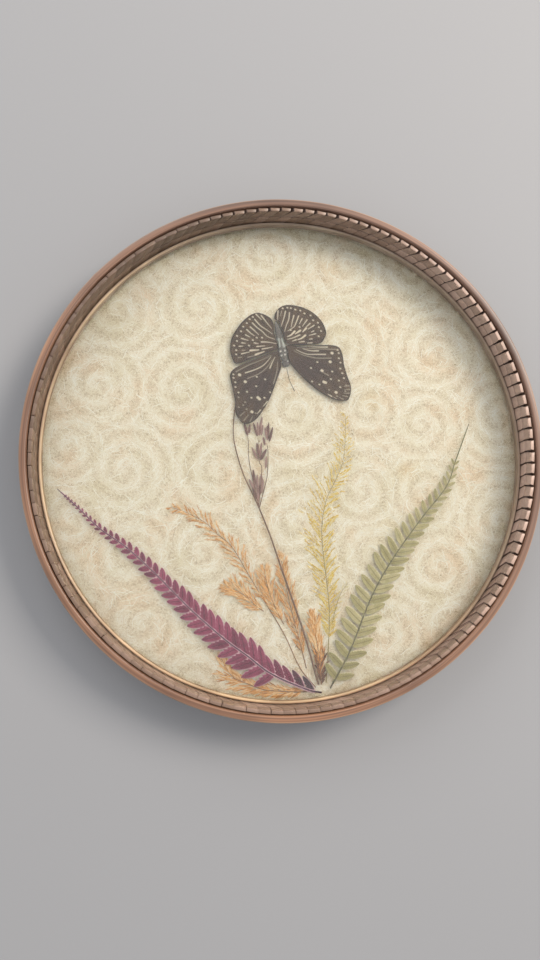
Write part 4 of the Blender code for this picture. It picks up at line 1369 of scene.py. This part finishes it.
plumeBuild = {                 # what a plume has unless it names its own
    "kind": "orange",
    "darkRoot": 0.0,
    "darkReach": 0.4,          # the share of the plume that darkRoot darkens
    "sides": (1.0, 1.0),
    "thinning": 0.0,
    "florets": 14,             # on each branch
    "fullness": (0.14, 0.80),  # where on a sine's half turn the branches start, and how far they go
    "lengthSpread": (0.65, 1.1),
    "widthSpread": (0.7, 1.2),
    "liftSpread": (-0.05, 0.08),
    "floretRise": 0.26,
    "headingStray": 20.0,
    "rim": 0.6,                # how far inside the cover's edge every floret ends
    "stem": (0.5, 0.2),
}
plumeSettings = {
    "orange_long_plume": {
        "line": [
            (315.5, 687.0), (300.0, 668.0), (284.0, 634.0), (265.5, 603.0), (248.0, 574.0),
            (232.0, 547.0), (217.0, 534.0), (205.0, 522.5), (185.0, 512.0), (169.0, 507.0)],
        "branches": 44, "span": (0.42, 0.99), "longest": 15.0, "lean": (18, 38),
        "size": (2.4, 4.8), "width": 0.52, "stem": (0.6, 0.2)},
    "orange_short_plume": {
        "line": [(263.5, 611.0), (255.0, 605.0), (242.0, 593.5), (224.5, 585.0)],
        "branches": 32, "span": (0.02, 0.97), "longest": 17.0, "lean": (14, 34),
        "size": (2.6, 5.0), "width": 0.54},
    "orange_middle_plume": {
        "line": [(283.5, 624.0), (273.0, 603.0), (267.0, 585.0), (264.0, 568.0)],
        "branches": 36, "span": (0.05, 0.98), "longest": 19.0, "lean": (12, 32),
        "size": (2.6, 5.2), "width": 0.54, "darkRoot": 0.1},
    "orange_right_plume": {
        "line": [(306.0, 668.0), (299.0, 640.0), (291.0, 610.0), (284.0, 578.0), (280.0, 553.0)],
        "branches": 44, "span": (0.12, 0.98), "longest": 18.0, "lean": (12, 30),
        "size": (2.6, 5.2), "width": 0.54, "darkRoot": 0.3, "stem": (0.6, 0.2)},
    "orange_base_plume": {
        "line": [(321.0, 684.0), (319.5, 660.0), (316.0, 640.0), (312.0, 614.0)],
        "branches": 46, "span": (0.0, 0.98), "longest": 18.0, "lean": (8, 28), "darkRoot": 1.3,
        "florets": 12, "size": (3.0, 5.8), "width": 0.7, "stem": (0.7, 0.3)},
    "orange_low_sprig": {
        "line": [
            (310.0, 690.5), (295.0, 691.5), (265.0, 689.5), (244.0, 682.0), (233.0, 677.0),
            (225.5, 666.0), (221.5, 655.0)],
        "branches": 30, "span": (0.04, 0.97), "longest": 19.0, "lean": (10, 30), "darkRoot": 0.1,
        "florets": 12, "size": (4.0, 7.5), "width": 1.0, "stem": (0.9, 0.4)},
    "yellow_plume": {
        "line": [
            (325.8, 683.0), (328.0, 650.0), (329.0, 610.0), (326.0, 578.0), (323.0, 554.0),
            (321.5, 533.0), (323.0, 514.0), (327.5, 496.0), (336.0, 479.0), (343.0, 460.0),
            (345.0, 437.0), (345.0, 412.0)],
        "branches": 170, "span": (0.16, 0.99), "longest": 22.0, "lean": (28, 58),
        "sides": (1.15, 0.8),  # the branches on its left are longer
        "thinning": 0.9,       # how much of it is gone towards its tip
        "florets": 19, "size": (1.2, 2.5), "width": 0.64, "stem": (0.6, 0.15), "kind": "yellow"},
    "pale_sprig": {
        "line": [(332.0, 622.0), (336.0, 605.0), (341.0, 592.0), (348.0, 582.0)],
        "branches": 12, "span": (0.1, 0.95), "longest": 8.0, "lean": (24, 40),
        "florets": 7, "size": (1.2, 2.4), "width": 0.45, "stem": (0.3, 0.2), "kind": "pale"},
}


def makePlume(node, settings, florets, stalk):
    # branches on both sides of a line, each with florets along it, finer towards its ends
    rng = random.Random(sum(ord(letter) for letter in node))
    line = Line(settings["line"])
    height = midHeight(node)
    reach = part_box("clear_cover")[1].x - settings["rim"] * mm
    stray = settings["headingStray"]
    bm, stems = bmesh.new(), bmesh.new()
    start, end = settings["span"]
    first, turn = settings["fullness"]
    for index in range(settings["branches"]):
        share = (index + rng.uniform(0.0, 0.6)) / settings["branches"]
        root, direction = line.at(start + (end - start) * share)
        sign = 1 if index % 2 else -1
        lean = rng.uniform(*settings["lean"]) * sign
        full = math.sin(math.pi * (first + turn * share))
        length = pixel * settings["longest"] * full * rng.uniform(*settings["lengthSpread"])
        length *= settings["sides"][0 if sign > 0 else 1]
        out = turned(direction, lean)
        for step in range(settings["florets"]):
            part = (step + rng.uniform(0.2, 0.8)) / settings["florets"]
            point = root + out * length * part
            if rng.random() < settings["thinning"] * share:
                continue
            size = rng.uniform(*settings["size"]) * mm * (0.6 + 0.4 * full)
            heading = turned(out, rng.uniform(-stray, stray))
            if (point + heading * size).length > reach:
                continue
            lift = height + rng.uniform(*settings["liftSpread"]) * mm
            width = settings["width"] * mm * rng.uniform(*settings["widthSpread"])
            matrix = placeOn(point, lift, heading, size, width, settings["floretRise"] * mm)
            dark = settings["darkRoot"] * max(0.0, 1.0 - share / settings["darkReach"])
            stampShape(bm, floretShape, matrix, rng.random() - dark)
    newPiece(node + "-florets", bm, florets, [node], recalc=False)
    layStem(stems, line, height, settings["stem"], steps=40, squeeze=0.35, span=(0.0, 0.99))
    newPiece(node + "-stalk", stems, stalk)


# dyed grass florets: dry and a little silky, each with its own depth of dye
floretFinish = {"roughness": 0.7, "fleck": 2.0, "fleckShare": 0.4, "relief": 0.02, "sheen": 0.2}
plumeStalkFinish = {"roughness": 0.6, "fleck": 1.5, "fleckShare": 0.8, "relief": 0.03}
orangeFloret = makeToneMaterial("ochreDyedFloret", {
    **floretFinish,
    "shades": [(0.0, "#6E4A34"), (0.22, "#BE7C3C"), (0.5, "#DEA056"), (0.8, "#EEBE84"),
               (1.0, "#F4D6A8")]})
yellowFloret = makeToneMaterial("yellowDyedFloret", {
    **floretFinish, "shades": [(0.15, "#D0A636"), (0.5, "#E4C456"), (0.9, "#F2DC8C")]})
paleFloret = makeToneMaterial("strawPaleFloret", {
    **floretFinish, "shades": [(0.15, "#CDBB86"), (0.9, "#E4D8AC")]})
brownStalk = makeToneMaterial("brownDriedStalk", {
    **plumeStalkFinish, "shades": [(0.2, "#8D6748"), (0.8, "#B07E54")]})
oliveStalk = makeToneMaterial("oliveDriedStalk", {
    **plumeStalkFinish, "shades": [(0.2, "#97834A"), (0.8, "#BBA566")]})
plumeFinishes = {"orange": (orangeFloret, brownStalk), "yellow": (yellowFloret, oliveStalk),
                 "pale": (paleFloret, oliveStalk)}
for plumeName, named in plumeSettings.items():
    plume = {**plumeBuild, **named}
    makePlume(plumeName, plume, *plumeFinishes[plume["kind"]])
print("plumes done")

grassSettings = {
    "stem": [
        (318.0, 684.0), (312.5, 664.0), (305.0, 637.0), (294.0, 605.0), (280.0, 565.0),
        (270.0, 536.0), (257.9, 506.0), (244.0, 476.5), (237.0, 455.0), (233.4, 437.0),
        (233.6, 421.0), (235.5, 404.0)],
    "stemWidth": (1.25, 0.6),
    "culms": [
        [(258.9, 508.0), (254.6, 488.0), (250.6, 470.4), (248.7, 458.1), (248.0, 438.3),
         (245.7, 433.7)],
        [(258.5, 507.0), (261.7, 468.9), (258.7, 461.2), (258.7, 439.8)],
        [(259.0, 508.5), (263.3, 491.8), (267.1, 475.0), (267.8, 453.6), (267.1, 445.9)]],
    "culmWidth": (0.6, 0.34),
    "husks": [                 # each from its root to its tip
        [(255.6, 491.8), (249.1, 478.8)], [(255.6, 494.9), (253.3, 469.6)],
        [(257.9, 499.5), (256.4, 475.0)], [(259.4, 501.8), (260.2, 473.5)],
        [(261.0, 496.4), (262.5, 475.7)], [(258.7, 504.8), (257.9, 488.0)],
        [(256.4, 499.5), (251.0, 483.4)], [(258.7, 461.2), (250.6, 447.8)],
        [(258.7, 461.2), (257.1, 442.8)], [(259.4, 459.7), (261.3, 442.8)],
        [(260.2, 460.4), (265.6, 449.0)], [(265.6, 468.9), (266.7, 455.9)],
        [(257.9, 439.0), (253.3, 423.0)], [(258.7, 438.3), (257.9, 422.2)],
        [(258.7, 439.0), (262.5, 416.8)], [(261.0, 436.0), (263.3, 425.2)],
        [(267.5, 441.3), (264.4, 427.5)], [(267.8, 442.8), (267.8, 423.0)],
        [(269.0, 442.1), (273.6, 427.5)], [(247.6, 436.0), (244.1, 423.7)],
        [(248.7, 433.7), (250.2, 424.5)], [(264.8, 445.9), (263.3, 436.7)]],
    "huskSpacing": 8.0,
    "huskLength": (8.0, 10.5),
    "huskWidth": 1.95,
    "widthSpread": (0.85, 1.15),
    "huskRise": 0.3,
    "headingStray": 4.0,
    "seed": 5,
}


def makeGrass(stemMaterial, huskMaterial):
    # one long culm, three short ones at its head, and husks one behind another on them
    bm = bmesh.new()
    layStem(bm, Line(grassSettings["stem"]), midHeight("grass_stem"), grassSettings["stemWidth"],
            steps=90, squeeze=0.28, sides=8)
    newPiece("grass-stem-culm", bm, stemMaterial, ["grass_stem"])
    bm = bmesh.new()
    height = midHeight("grass_head")
    for culm in grassSettings["culms"]:
        layStem(bm, Line(culm), height, grassSettings["culmWidth"], steps=20, squeeze=0.5)
    newPiece("grass-head-culms", bm, stemMaterial)
    rng = random.Random(grassSettings["seed"])
    stray = grassSettings["headingStray"]
    bm = bmesh.new()
    for base, tip in grassSettings["husks"]:
        root, end = seenAt(*base), seenAt(*tip)
        run = end - root
        count = max(1, round(run.length / (grassSettings["huskSpacing"] * mm)))
        for index in range(count):
            size = min(rng.uniform(*grassSettings["huskLength"]) * mm, run.length)
            point = root.lerp(end, (1.0 - size / run.length) * (index + 1) / count)
            heading = turned(run.normalized(), rng.uniform(-stray, stray))
            width = grassSettings["huskWidth"] * mm * rng.uniform(*grassSettings["widthSpread"])
            rise = grassSettings["huskRise"] * mm
            stampShape(bm, huskShape, placeOn(point, height, heading, size, width, rise),
                       rng.random())
    newPiece("grass-head-husks", bm, huskMaterial, ["grass_head"], recalc=False)


# dry grass: a smooth straw-like culm, and husks that are papery and purple-brown
dryCulm = makeToneMaterial("brownDryCulm", {
    "roughness": 0.55, "fleck": 1.5, "fleckShare": 0.9, "relief": 0.03,
    "shades": [(0.2, "#6E5240"), (0.8, "#937158")]})
dryHusk = makeToneMaterial("purpleBrownHusk", {
    "roughness": 0.6, "fleck": 1.2, "fleckShare": 0.5, "relief": 0.04,
    "shades": [(0.1, "#64463E"), (0.6, "#826058"), (1.0, "#A4847A")]})
makeGrass(dryCulm, dryHusk)
print("grass done")


# Floor, light and camera

studio = {
    "floorHalf": 1.6,
    "floorColour": "#89898B",  # plain matt paper
    "world": ("#EDEEF0", 1.05),
    "key": {"place": (1.02, 0.7, 1.15), "size": 0.7, "power": 32.0, "colour": "#FFF6EA"},
    "fill": {"place": (-0.7, 1.35, 1.15), "size": 1.1, "power": 15.0, "colour": "#F4F2F0"},
}


def makeFloor():
    bm = bmesh.new()
    bmesh.ops.create_grid(bm, x_segments=2, y_segments=2, size=studio["floorHalf"])
    mesh = bpy.data.meshes.new("paleFloor")
    bm.to_mesh(mesh)
    bm.free()
    floor = bpy.data.objects.new("paleFloor", mesh)
    bpy.context.scene.collection.objects.link(floor)
    material, tree, shader, place = startMaterial("matPaleFloor", {"Roughness": 0.8})
    shader.inputs["Base Color"].default_value = hexColour(studio["floorColour"])
    mesh.materials.append(material)


def addLight(name, settings):
    lamp = bpy.data.lights.new(name, "AREA")
    lamp.shape = "SQUARE"
    lamp.size = settings["size"]
    lamp.energy = settings["power"]
    lamp.color = hexColour(settings["colour"])[:3]
    light = bpy.data.objects.new(name, lamp)
    light.location = settings["place"]
    light.rotation_euler = (-Vector(settings["place"])).to_track_quat("-Z", "Y").to_euler()
    bpy.context.scene.collection.objects.link(light)


def addCamera():
    data = bpy.data.cameras.new("photoCamera")
    data.lens = photoView["lens"]
    data.sensor_width = photoView["filmHeight"]
    data.clip_start = 0.01
    camera = bpy.data.objects.new("photoCamera", data)
    camera.location = photoEye
    camera.rotation_euler = photoTurn.to_euler()
    bpy.context.scene.collection.objects.link(camera)
    bpy.context.scene.camera = camera


makeFloor()
world = bpy.data.worlds.new("softRoom")
world.use_nodes = True
world.node_tree.nodes["Background"].inputs["Color"].default_value = hexColour(studio["world"][0])
world.node_tree.nodes["Background"].inputs["Strength"].default_value = studio["world"][1]
bpy.context.scene.world = world
addLight("keyLight", studio["key"])
addLight("fillLight", studio["fill"])
addCamera()
bpy.context.scene.view_settings.view_transform = "Standard"
print("studio done")
